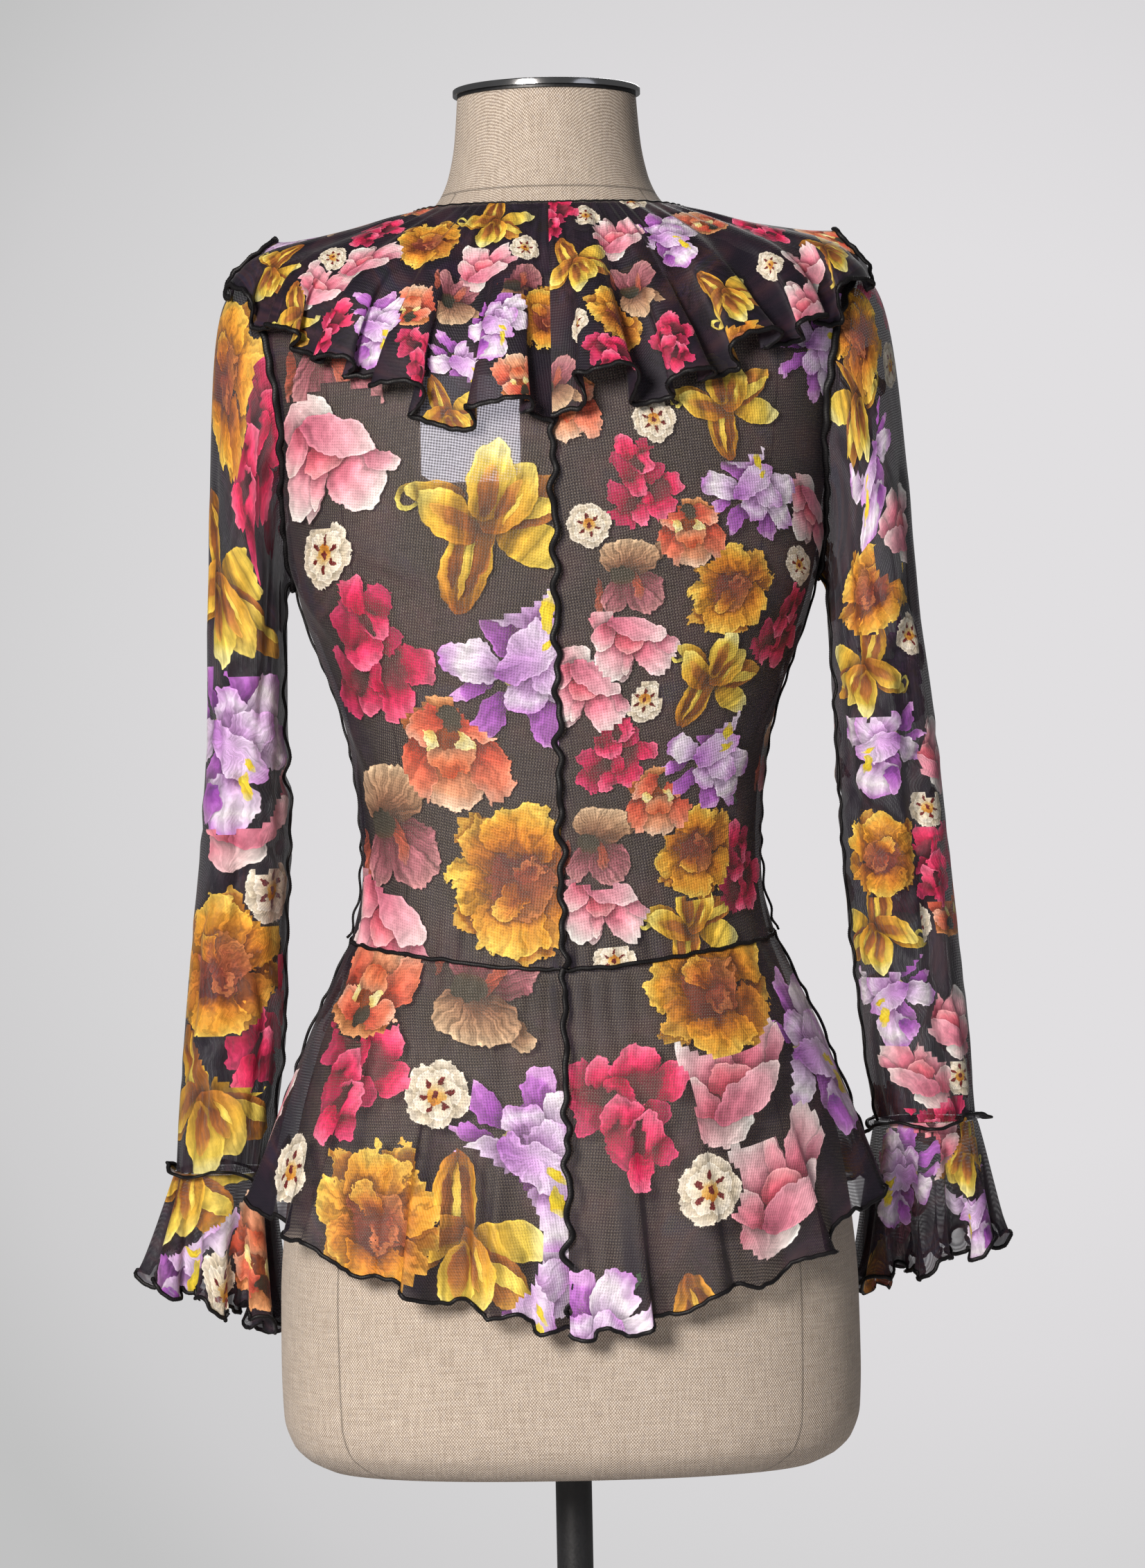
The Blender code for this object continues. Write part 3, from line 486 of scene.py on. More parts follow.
def wrinkle_depth(side, around, height):
    """How far the sleeve's wrinkles pull it in."""
    depth = 0
    for wrinkle in WRINKLES[side]:
        across = np.radians((around - wrinkle.around + 180) % 360 - 180) * SLEEVE_RADIUS
        up = height - wrinkle.height
        lean = math.radians(wrinkle.lean)
        along = across * math.cos(lean) + up * math.sin(lean)
        beside = up * math.cos(lean) - across * math.sin(lean)
        trough = bump(beside, wrinkle.width) - 0.5 * bump(np.abs(beside) - 2 * wrinkle.width, wrinkle.width)
        depth = depth + wrinkle.depth * bump(along, wrinkle.length) * trough
    for number, middle in enumerate(SLACK[side]):
        away = around - middle - 9 * np.sin(height / 47 + number) - 4 * np.sin(height / 19 + 2 * number)
        comes_and_goes = 0.55 + 0.45 * np.sin(height / 36 + 2.3 * number)
        depth = depth + SLACK_DEPTH * comes_and_goes * bump((away + 180) % 360 - 180, SLACK_WIDTH)
    return depth


def hanging_ring(side, around, row):
    """A section of a sleeve below the underarm. around runs from its outer side by the back to the inner side."""
    angle = np.radians(around)
    power = 2 / SLEEVE_SQUARENESS
    across = np.sign(np.cos(angle)) * np.abs(np.cos(angle)) ** power
    behind = np.sign(np.sin(angle)) * np.abs(np.sin(angle)) ** power
    inwards = wrinkle_depth(side, around, row.height)
    for crease in SLEEVE_CREASES[side]:
        away = (around - crease.around + 180) % 360 - 180
        ends = np.clip((crease.top - row.height) / 60, 0, 1) * np.clip((row.height - crease.bottom) / 40, 0, 1)
        inwards = inwards + crease.depth * ends * bump(away * 1.6, crease.width)
    above_wrist = np.clip((row.height - SLEEVES[side][-1].height) / 28, 0, 1)
    gather = 0.5 + 0.5 * np.sin(angle * WRIST_GATHERS + np.sin(angle * 3))
    inwards = inwards + WRIST_GATHER * (1 - above_wrist) * gather
    width, depth = row.half_width - inwards, row.half_depth - inwards
    return np.stack([side * (row.out + width * across), row.ahead - depth * behind,
                     np.full_like(angle, row.height)], -1)


def armhole_ring(side, around):
    """Points round an armhole, on the line where its panels end, and the directions in which the sleeve leaves it."""
    angle = np.radians(around)
    down = np.where(around <= 180, around, 360 - around)
    lean = np.where(around <= 180, -read(ARMHOLE, "back", down), read(ARMHOLE, "front", down))
    height = armhole_height(around)
    points = lifted(side, 90 + lean, height, bodice_lift(height) + UNDERARM_LIFT * (1 - np.cos(angle)) / 2)
    leaves = np.stack([
        side * (0.8 + 0.2 * np.cos(angle)), -0.3 * np.sin(angle), -(0.42 - 0.34 * np.cos(angle)),
    ], -1)
    return points, leaves / np.linalg.norm(leaves, axis=-1, keepdims=True)


def unrolled(steps):
    """Angles once round a sleeve, from its seam."""
    return (SLEEVE_SEAM + np.linspace(0, 360, steps)) % 360


def sleeve_grid(side):
    """Rings of a sleeve, from the armhole to the wrist seam."""
    around = unrolled(SLEEVE_COLUMNS)
    table = SLEEVES[side]
    start, leaves = armhole_ring(side, around)
    start = start + leaves * ARMHOLE_GAP
    first = hanging_ring(side, around, table[0])
    drop = start[:, 2:] - first[:, 2:]
    outer = (0.5 + 0.5 * np.cos(np.radians(around)))[:, None]
    reach = UNDERARM_REACH + HEAD_REACH * outer
    above = first + np.array([0, 0, HEAD_DROP]) * drop - np.array([side * HEAD_LEAN[side], 0, 0]) * outer
    rings = []
    for share in np.linspace(0, 1, SLEEVE_HEAD_ROWS + 1)[:-1]:
        ring = (
            start * (1 - share) ** 3
            + 3 * (start + leaves * reach) * share * (1 - share) ** 2
            + 3 * above * share**2 * (1 - share)
            + first * share**3
        )
        pull = wrinkle_depth(side, around, ring[:, 2]) * min(share / 0.2, 1)
        middle = ring.mean(axis=0)
        out = (ring - middle) * (1, 1, 0)
        rings.append(ring - out / np.linalg.norm(out, axis=-1, keepdims=True) * pull[:, None])
    for height in np.arange(table[0].height, table[-1].height, -CLOTH_STEP):
        row = Arm(height, *(float(read(table, name, height)) for name in Arm._fields[1:]))
        rings.append(hanging_ring(side, around, row))
    rings.append(hanging_ring(side, around, table[-1]))
    return np.array(rings)


def frill_grid(side):
    """Rings of a cuff frill, from just below the wrist seam to its curled hem."""
    around = unrolled(FRILL_COLUMNS)
    wrist, frill = SLEEVES[side][-1], FRILLS[side]
    angle = np.radians(around)
    phase = FRILL_WAVES * angle + 0.6 * np.sin(2 * angle)
    curls = HEM_CURLS * angle + 1.2 * np.sin(3 * angle)
    uneven = 1 + 0.35 * np.cos(2 * angle + 1 + side)
    rings = []
    for share in np.linspace(0, 1, FRILL_ROWS):
        spread = share**0.8
        out = wrist.out + (frill.out - wrist.out) * share
        ahead = wrist.ahead + (frill.ahead - wrist.ahead) * share
        wave = (FRILL_WAVE + 2 * share) * (0.12 + share**1.2) * uneven * (np.cos(phase) - 0.35)
        wave = wave + CURL_REACH * share**7 * np.sin(curls)
        half_width = wrist.half_width + (frill.half_width - wrist.half_width) * spread + wave
        half_depth = wrist.half_depth + (frill.half_depth - wrist.half_depth) * spread + wave
        sideways = WAVE_OVERHANG * share**1.3 * np.sin(2 * phase) + CURL_OVERHANG * share**7 * np.sin(2 * curls)
        at = angle + sideways / half_depth
        top = wrist.height - SEAM_DROP
        hem = frill.hem + frill.slant * np.cos(angle) + WAVE_RISE * np.cos(phase + 2) + CURL_RISE * np.sin(curls + 1)
        rings.append(np.stack([
            side * (out + half_width * np.cos(at)), ahead - half_depth * np.sin(at), top + (hem - top) * share,
        ], -1))
    return np.array(rings)


def wrist_grid(side):
    """The wrist seam's turnings, which flare out of it as a narrow ruffle."""
    around = unrolled(RUFFLE_COLUMNS)
    wrist = SLEEVES[side][-1]
    angle = np.radians(around)
    rings = []
    for share in np.linspace(0, 1, RUFFLE_ROWS):
        flare = 0.6 + share * (5.0 + 2.2 * np.sin(5 * angle + side) + 1.2 * np.sin(13 * angle))
        fall = share * (1.5 + 2.8 * np.sin(4 * angle + 2 * side) - 3.0 * np.cos(angle))
        rings.append(np.stack([
            side * (wrist.out + (wrist.half_width + flare) * np.cos(angle)),
            wrist.ahead - (wrist.half_depth + flare) * np.sin(angle),
            wrist.height - SEAM_DROP / 2 - fall,
        ], -1))
    return np.array(rings)


# ------------------------------------------------------------------ nodes and colours


def colour(code, alpha=1.0):
    """A linear colour from an sRGB hex value."""
    shares = (int(code[i:i + 2], 16) / 255 for i in (0, 2, 4))
    return (*(share / 12.92 if share <= 0.04045 else ((share + 0.055) / 1.055) ** 2.4 for share in shares), alpha)


def add(tree, kind, *inputs, stops=None, named=None, **settings):
    """Adds a node. Each input is a node or socket to link from, a value, or None to leave it as it is."""
    node = tree.nodes.new(kind)
    for setting, value in settings.items():
        setattr(node, setting, value)
    if stops:
        ramp = node.color_ramp.elements
        while len(ramp) < len(stops):
            ramp.new(1)
        for element, (position, code, alpha) in zip(ramp, stops):
            element.position = position
            element.color = colour(code, alpha)
    pairs = list(zip([socket for socket in node.inputs if socket.enabled], inputs))
    pairs += [(node.inputs[name], value) for name, value in (named or {}).items()]
    for socket, value in pairs:
        if isinstance(value, bpy.types.Node):
            value = next(output for output in value.outputs if output.enabled)
        if isinstance(value, bpy.types.NodeSocket):
            tree.links.new(value, socket)
        elif value is not None:
            socket.default_value = value
    return node


def new_material(name):
    """A material with no nodes yet, and its tree."""
    made = bpy.data.materials.new(name)
    made.use_nodes = True
    made.node_tree.nodes.clear()
    return made, made.node_tree


# ------------------------------------------------------------------ the print

# A petal in shares of its flower's radius: the place of its middle, how far its length leans to the right from
# upright in degrees, its half width and half length, and how pointed it is, from 0 for an oval.
Petal = namedtuple("Petal", "x y lean half_width half_length point look")
# A flower: its radius in millimetres in the large print, how far its outlines are ruffled and how finely, how many
# veins fan out from its root and how strong they are, where the root is, and its petals, the hindmost first.
Flower = namedtuple("Flower", "radius ruffle fineness veins vein_strength root petals")

# A petal's colours from its base to its tip, how dark a shadow it throws on what lies beneath, and the share of its
# middle that is open, on a petal that curls round.
Look = namedtuple("Look", "base lower upper tip shadow hollow", defaults=(0.45, 0))
LOOKS = {
    "blush": Look("E8607E", "F892A8", "FFCED6", "FFFCF8"),
    "pink": Look("DC5C76", "EE8298", "F8B0BC", "FFE8E6"),
    "coral": Look("CC4A5C", "EE6078", "FA8494", "FFB0B8", 0.5),
    "mauve": Look("CC6882", "E88CA2", "F6B4C2", "FFE4E6"),
    "pale": Look("E08C9C", "F2BCC4", "FCE0E0", "FFFCF8"),
    "cream": Look("CDB384", "F0DEBC", "FCECD0", "FFF4E2", 0.35),
    "cream_fold": Look("DCC08E", "F4E3C2", "FDF0D8", "FFF7E8", 0.22),
    "golden": Look("D0802A", "E29E3C", "EDBE6A", "F2DCB2", 0.15),
    "dart": Look("8E3A24", "7A1C20", "7A1C20", "8E3A34", 0.1),
    "lily": Look("9E5A26", "D89634", "F4C446", "FFE878"),
    "lily_brown": Look("74401F", "9C5A2A", "B87434", "DCA444", 0.3),
    "lily_streak": Look("D29A38", "F0C850", "FAE068", "F0CC54", 0.25),
    "lime": Look("B8802E", "E6B840", "FADC5C", "FFF4A0"),
    "curl": Look("D2A03C", "E8C452", "FAE470", "FCEC78", 0.4, 0.6),
    "crimson": Look("B0183E", "E42A5C", "FA4476", "FF7CA0"),
    "crimson_shade": Look("62142A", "A81E42", "CC3060", "E04878"),
    "crimson_dark": Look("2E1016", "4E1C28", "6C2836", "963448", 0.4),
    "lilac": Look("B06AC4", "D8A6E6", "F0DCFA", "D89CE6"),
    "lilac_white": Look("C486D2", "E8CCF4", "FCF4FF", "CE8CDE"),
    "violet": Look("84409E", "AC5AC0", "C87CD8", "E4ACEC"),
    "flash": Look("E8D26A", "F6DE3C", "F0D030", "ECE0A4", 0.1),
    "stem": Look("26402C", "35553A", "426548", "57765A", 0.1),
    "peach": Look("CC5634", "EA845A", "F4AC84", "FCD6B8"),
    "salmon": Look("BE4430", "E0624A", "F08868", "F9B89C"),
    "cup": Look("8A4428", "BE5E30", "D67E46", "EEAA74"),
    "spot": Look("E8B860", "F6E08E", "FAEFB8", "F6E08E", 0.1),
    "eye": Look("2A2A20", "34342A", "3E3A2E", "5A4030", 0.2),
    "gold": Look("A8502A", "DC862E", "F2AC3C", "FCD460"),
    "gold_shade": Look("863F24", "BC692E", "DE9238", "F0BA52"),
    "rust": Look("6A2C26", "8E4432", "AC5E3E", "C87E48", 0.5),
    "rust_curl": Look("7C382C", "AC503A", "CC7850", "B87048", 0.3, 0.5),
    "dusky": Look("5E2E30", "92505A", "B4707A", "C88E90"),
    "dusky_rib": Look("7A3A30", "B05442", "BC6652", "B07068", 0.3),
    "dusky_fan": Look("4A302A", "946A52", "C49C7A", "E0C09C"),
}
OUTLINE = 0.4  # a petal's outline in its own units


def ring_of(count, reach, half_width, half_length, point, look, first=0.0, uneven=0.0):
    """Petals that stand in a ring round a flower's middle, and each points away from it."""
    petals = []
    for k in range(count):
        bearing = first + 360 * k / count + 9 * uneven * math.sin(5 * k)
        out = reach * (1 + uneven * 0.12 * math.sin(3 * k + 1))
        petals.append(Petal(out * math.sin(math.radians(bearing)), out * math.cos(math.radians(bearing)), bearing,
                            half_width, half_length, point, look))
    return tuple(petals)


FLOWERS = {
    "magnolia": Flower(44, 0.09, 2.2, 16, 0.15, (-0.6, -1.0), (
        Petal(-0.27, 0.44, -14, 0.20, 0.46, 0.3, "mauve"),
        Petal(0.42, 0.44, 44, 0.38, 0.60, 0.1, "blush"),
        Petal(-0.52, 0.26, -22, 0.42, 0.58, 0.1, "blush"),
        Petal(-0.20, 0.34, -12, 0.13, 0.42, 0.5, "pink"),
        Petal(0.74, 0.20, 52, 0.15, 0.36, 0.6, "mauve"),
        Petal(-0.14, -0.04, 10, 0.34, 0.28, 0.0, "coral"),
        Petal(-0.46, -0.64, 88, 0.32, 0.52, 0.1, "pale"),
        Petal(-0.70, -0.24, -30, 0.26, 0.36, 0.2, "pink"),
        Petal(0.08, -0.28, 66, 0.27, 0.70, 0.2, "mauve"),
    )),
    "primula": Flower(23, 0.07, 6.0, 22, 0.15, (0, 0), (
        *ring_of(7, 0.54, 0.46, 0.42, 0.0, "cream", 0, 0.8),
        *ring_of(5, 0.34, 0.36, 0.38, 0.0, "cream_fold", 10, 0.8),
        Petal(0, 0, 0, 0.28, 0.28, 0.0, "golden"),
        *ring_of(6, 0.40, 0.07, 0.15, 0.5, "dart", 6),
        Petal(0, 0, 0, 0.10, 0.12, 0.0, "dart"),
    )),
    "lily": Flower(54, 0.05, 2.4, 30, 0.30, (-0.3, 1.2), (
        Petal(0.58, 0.20, 72, 0.25, 0.50, 0.55, "lime"),
        Petal(0.56, -0.26, 112, 0.25, 0.56, 0.55, "lily_brown"),
        Petal(0.60, -0.20, 106, 0.10, 0.46, 0.5, "lily_streak"),
        Petal(-0.18, 0.36, 168, 0.28, 0.62, 0.5, "lily"),
        Petal(-0.06, 0.30, 162, 0.14, 0.50, 0.4, "lily_brown"),
        Petal(-0.28, 0.26, 172, 0.07, 0.42, 0.5, "lily_brown"),
        Petal(-0.16, 0.34, 166, 0.05, 0.48, 0.5, "lily_streak"),
        Petal(-0.86, -0.34, -10, 0.15, 0.17, 0.0, "curl"),
        Petal(-0.58, -0.38, -100, 0.15, 0.36, 0.5, "lily"),
        Petal(-0.40, -0.12, -130, 0.24, 0.46, 0.5, "lily"),
        Petal(-0.28, -0.08, -118, 0.10, 0.38, 0.5, "lily_brown"),
        Petal(0.26, -0.30, 146, 0.28, 0.46, 0.4, "lily"),
        Petal(0.04, -0.52, 174, 0.27, 0.48, 0.6, "lime"),
        Petal(0.02, -0.40, 176, 0.12, 0.30, 0.5, "lily_brown"),
        Petal(0.24, -0.30, 148, 0.07, 0.24, 0.4, "lily_brown"),
        Petal(0.30, -0.20, 150, 0.03, 0.20, 0.4, "lily_streak"),
    )),
    "crimson": Flower(44, 0.12, 2.6, 20, 0.24, (0.0, -1.3), (
        Petal(-0.56, 0.72, -30, 0.34, 0.28, 0.0, "crimson_shade"),
        Petal(-0.14, 0.62, -10, 0.24, 0.36, 0.1, "crimson"),
        Petal(0.32, 0.66, 20, 0.34, 0.34, 0.0, "crimson"),
        Petal(0.68, 0.18, 82, 0.25, 0.34, 0.0, "crimson"),
        Petal(0.26, 0.24, 40, 0.34, 0.30, 0.0, "crimson_dark"),
        Petal(0.02, 0.36, 200, 0.18, 0.26, 0.0, "crimson"),
        Petal(-0.50, 0.30, -150, 0.24, 0.40, 0.1, "crimson_shade"),
        Petal(-0.28, 0.42, -60, 0.12, 0.26, 0.4, "crimson_dark"),
        Petal(0.34, -0.14, 120, 0.20, 0.28, 0.0, "crimson_shade"),
        Petal(-0.10, 0.00, 10, 0.30, 0.32, 0.0, "crimson"),
        Petal(0.14, -0.44, 24, 0.28, 0.36, 0.1, "crimson"),
        Petal(-0.26, -0.36, 190, 0.20, 0.38, 0.1, "crimson_shade"),
        Petal(0.04, -0.38, 200, 0.09, 0.24, 0.3, "crimson_dark"),
        Petal(-0.06, -0.78, 186, 0.22, 0.30, 0.1, "crimson"),
        Petal(0.34, -0.72, 140, 0.18, 0.24, 0.1, "crimson_shade"),
    )),
    "iris": Flower(54, 0.10, 2.6, 24, 0.18, (0.05, 0.1), (
        Petal(0.58, 0.62, 32, 0.05, 0.42, 0.5, "stem"),
        Petal(-0.62, 0.58, -52, 0.15, 0.44, 0.9, "violet"),
        Petal(-0.76, 0.26, -80, 0.09, 0.28, 0.9, "violet"),
        Petal(0.04, 0.76, 14, 0.22, 0.40, 0.8, "violet"),
        Petal(0.40, 0.60, 36, 0.28, 0.42, 0.3, "lilac_white"),
        Petal(0.66, 0.20, 74, 0.28, 0.40, 0.3, "lilac_white"),
        Petal(-0.62, -0.06, -112, 0.26, 0.38, 0.2, "lilac_white"),
        Petal(-0.12, 0.42, -20, 0.26, 0.26, 0.0, "lilac"),
        Petal(0.24, 0.24, 60, 0.28, 0.36, 0.1, "lilac"),
        Petal(-0.26, 0.20, -70, 0.05, 0.11, 0.3, "flash"),
        Petal(-0.18, -0.34, -150, 0.20, 0.30, 0.2, "violet"),
        Petal(0.12, -0.64, 186, 0.44, 0.38, 0.0, "lilac_white"),
        Petal(-0.20, -0.68, 200, 0.17, 0.26, 0.0, "violet"),
        Petal(0.08, -0.04, 112, 0.25, 0.56, 0.2, "lilac"),
        Petal(0.28, -0.10, 116, 0.05, 0.15, 0.4, "flash"),
        Petal(0.32, -0.40, 170, 0.09, 0.20, 0.4, "flash"),
    )),
    "poppy": Flower(36, 0.12, 3.4, 22, 0.18, (0.05, -0.55), (
        Petal(-0.04, 0.46, 0, 0.56, 0.52, 0.0, "peach"),
        Petal(0.64, 0.32, 8, 0.36, 0.62, 0.0, "salmon"),
        Petal(-0.66, 0.32, -8, 0.34, 0.60, 0.0, "salmon"),
        Petal(-0.02, 0.04, 180, 0.40, 0.36, 0.0, "peach"),
        Petal(0.0, -0.52, 180, 0.88, 0.44, 0.0, "cup"),
        Petal(-0.42, -0.44, -60, 0.26, 0.42, 0.0, "salmon"),
        Petal(0.50, -0.40, 60, 0.25, 0.38, 0.0, "salmon"),
        Petal(0.08, -0.54, 0, 0.19, 0.21, 0.0, "eye"),
        Petal(-0.34, -0.18, -30, 0.11, 0.17, 0.2, "spot"),
        Petal(0.24, -0.18, 30, 0.11, 0.20, 0.2, "spot"),
    )),
    "marigold": Flower(46, 0.16, 3.2, 26, 0.24, (0, 0), (
        Petal(-0.68, 0.46, -58, 0.20, 0.34, 0.8, "gold_shade"),
        Petal(0.16, 0.84, 10, 0.24, 0.28, 0.6, "gold_shade"),
        Petal(0.80, -0.08, 98, 0.24, 0.28, 0.6, "gold_shade"),
        Petal(-0.60, -0.62, -140, 0.24, 0.32, 0.6, "gold_shade"),
        Petal(0.58, 0.42, 54, 0.42, 0.40, 0.0, "gold"),
        Petal(0.56, -0.46, 130, 0.42, 0.42, 0.0, "gold_shade"),
        Petal(-0.60, 0.04, -88, 0.38, 0.40, 0.0, "gold"),
        Petal(-0.42, -0.44, -136, 0.36, 0.40, 0.0, "gold_shade"),
        Petal(-0.12, 0.56, -8, 0.50, 0.40, 0.0, "gold"),
        Petal(0.04, -0.66, 176, 0.52, 0.36, 0.0, "gold"),
        Petal(0.0, 0.02, 20, 0.46, 0.42, 0.0, "rust"),
        Petal(-0.16, 0.24, -40, 0.20, 0.22, 0.0, "gold_shade"),
        Petal(0.10, -0.16, 150, 0.18, 0.20, 0.0, "rust_curl"),
    )),
    "dusky": Flower(42, 0.10, 2.4, 40, 0.30, (-0.2, -0.1), (
        Petal(-0.84, 0.40, -6, 0.10, 0.50, 0.5, "dusky_rib"),
        Petal(0.72, -0.50, 128, 0.15, 0.38, 0.4, "dusky_fan"),
        Petal(-0.44, 0.40, -22, 0.30, 0.48, 0.1, "dusky"),
        Petal(0.24, 0.42, 30, 0.50, 0.52, 0.0, "dusky"),
        Petal(0.00, -0.46, 176, 0.70, 0.44, 0.0, "dusky_fan"),
        Petal(0.06, 0.24, 14, 0.12, 0.38, 0.3, "dusky_rib"),
        Petal(-0.28, -0.04, 0, 0.28, 0.24, 0.0, "eye"),
    )),
}
FLOWER_NAMES = list(FLOWERS)
# Where flowers lie on the panels that show at the back: their distances out from the pole's axis and their heights.
LAID = {
    "back_left": (
        ("magnolia", -132, 608), ("primula", -138, 548), ("lily", -42, 560), ("crimson", -113, 490),
        ("iris", -18, 486), ("poppy", -65, 428), ("dusky", -100, 390), ("marigold", -24, 350),
        ("magnolia", -104, 328), ("dusky", -126, 668),
    ),
    "back_right": (
        ("primula", 60, 620), ("lily", 102, 632), ("crimson", 50, 590), ("iris", 118, 583), ("primula", 20, 560),
        ("poppy", 80, 558), ("dusky", 45, 532), ("marigold", 103, 520), ("magnolia", 155, 568),
        ("primula", 146, 538), ("magnolia", 46, 494), ("magnolia", 20, 466), ("lily", 92, 472),
        ("crimson", 134, 500), ("primula", 52, 460), ("crimson", 32, 430), ("iris", 92, 428), ("poppy", 58, 398),
        ("marigold", 80, 366), ("crimson", 106, 356), ("dusky", 24, 370), ("magnolia", 26, 336),
        ("lily", 76, 322), ("primula", 29, 308),
    ),
    "peplum_back_left": (
        ("poppy", -115, 292), ("crimson", -127, 242), ("primula", -75, 230), ("primula", -163, 185),
        ("marigold", -112, 158), ("lily", -60, 148), ("dusky", -46, 290), ("iris", -20, 190), ("iris", -26, 118),
    ),
    "peplum_back_right": (
        ("marigold", 86, 288), ("crimson", 36, 215), ("magnolia", 104, 237), ("primula", 84, 172),
        ("magnolia", 130, 175), ("iris", 152, 245), ("lily", 96, 82), ("iris", 24, 70),
    ),
    "collar_left": (
        ("crimson", -104, 742), ("lily", -165, 720), ("primula", -128, 725), ("magnolia", -106, 721),
        ("magnolia", -135, 705), ("marigold", -72, 731), ("lily", -32, 744), ("primula", -14, 726),
        ("magnolia", -36, 715), ("dusky", -54, 694), ("iris", -104, 678), ("poppy", -82, 692), ("iris", -34, 679),
        ("crimson", -76, 659), ("poppy", -18, 647), ("marigold", -3, 683), ("lily", -62, 628), ("dusky", -17, 702),
        ("iris", -50, 655), ("lily", -147, 689), ("crimson", -134, 681),
    ),
    "collar_right": (
        ("crimson", 1, 746), ("lily", 14, 716), ("primula", 22, 746), ("magnolia", 42, 732), ("iris", 69, 730),
        ("poppy", 92, 744), ("lily", 102, 696), ("dusky", 52, 698), ("marigold", 41, 682), ("primula", 15, 677),
        ("crimson", 36, 656), ("crimson", 70, 666), ("marigold", 111, 663), ("crimson", 126, 737),
        ("primula", 130, 714), ("magnolia", 154, 713), ("magnolia", 151, 690), ("lily", 164, 725),
    ),
    "sleeve_left": (
        ("marigold", -197, 660), ("crimson", -181, 608), ("lily", -208, 538), ("iris", -200, 435),
        ("magnolia", -178, 402), ("primula", -174, 350), ("marigold", -210, 304), ("crimson", -186, 270),
        ("lily", -222, 224),
    ),
    "sleeve_right": (
        ("crimson", 201, 706), ("marigold", 185, 676), ("lily", 182, 638), ("primula", 203, 658),
        ("iris", 190, 596), ("magnolia", 206, 562), ("marigold", 188, 524), ("primula", 211, 496),
        ("lily", 184, 476), ("iris", 194, 430), ("magnolia", 218, 424), ("primula", 222, 392),
        ("marigold", 192, 364), ("crimson", 225, 358), ("lily", 188, 320), ("primula", 214, 322),
        ("poppy", 236, 333), ("iris", 198, 278), ("magnolia", 231, 262), ("magnolia", 212, 232),
        ("primula", 241, 228), ("crimson", 227, 206),
    ),
    "cuff_left": (("lily", -236, 178), ("primula", -210, 106), ("iris", -238, 130), ("poppy", -188, 128)),
    "cuff_right": (("iris", 203, 166), ("magnolia", 216, 188), ("lily", 244, 182), ("iris", 250, 146)),
}
# What fills the rest of each panel, in this order.
FILLING = ("lily", "crimson", "primula", "iris", "magnolia", "marigold", "primula", "poppy", "dusky")
# The size of the print on each panel, where 1 is the full size.
LARGE_PRINT, COLLAR_PRINT, PEPLUM_PRINT = 1.0, 0.42, 0.95
SIDE_PRINT = {LEFT: LARGE_PRINT, RIGHT: 0.6}
SPARE = 1.12  # room round a flower, as a share of its radius
TRIES = 5000  # at a place for one more flower
FLOWER_REACH = 1.2  # how far from its middle a flower is drawn, in shares of its radius
BLANK = (9.0, 9.0, 0.0)  # the place of cloth that has no flower, far outside any petal
VARIETY = 1.7  # how far apart flowers of a kind lie in the noise that ruffles them
TILT = 14  # how far a flower leans to either side, in degrees
# How open the net is on each kind of panel, from -1 for slack cloth that has closed up to 1 for cloth that is
# stretched, and how far it closes towards the sides, where it leaves the form.
OPENNESS = {"back": 1.0, "front": 1.0, "peplum": 1.1, "collar": -0.9, "sleeve": 0.1, "cuff": 0.1}
SIDE_CLOSING = 1.7
FOLD_CLOSING = 20.0  # how far the net closes on the flanks of a fold
FOLD_REACH = 8  # grid columns to each side, over which a fold's flank is told from the panel's own curve

# A flower on a panel: the grid point that it lies at, how far above that its middle is, its size and its turn.
Placed = namedtuple("Placed", "flower row column above radius turn")


def normals_of(points):
    """Unit normals of a grid of points, as they come from its rows and columns."""
    normal = np.cross(np.gradient(points, axis=1), np.gradient(points, axis=0))
    return normal / np.maximum(np.linalg.norm(normal, axis=-1, keepdims=True), 1e-9)


def flanks(points):
    """How far the cloth leans away from its general direction at each point, as it does on the flanks of a fold."""
    normal = normals_of(points)
    columns = points.shape[1]
    padded = np.pad(normal, ((0, 0), (FOLD_REACH, FOLD_REACH), (0, 0)), mode="edge")
    general = sum(padded[:, start:start + columns] for start in range(2 * FOLD_REACH + 1))
    general /= np.linalg.norm(general, axis=-1, keepdims=True)
    return 1 - np.abs((normal * general).sum(axis=-1))


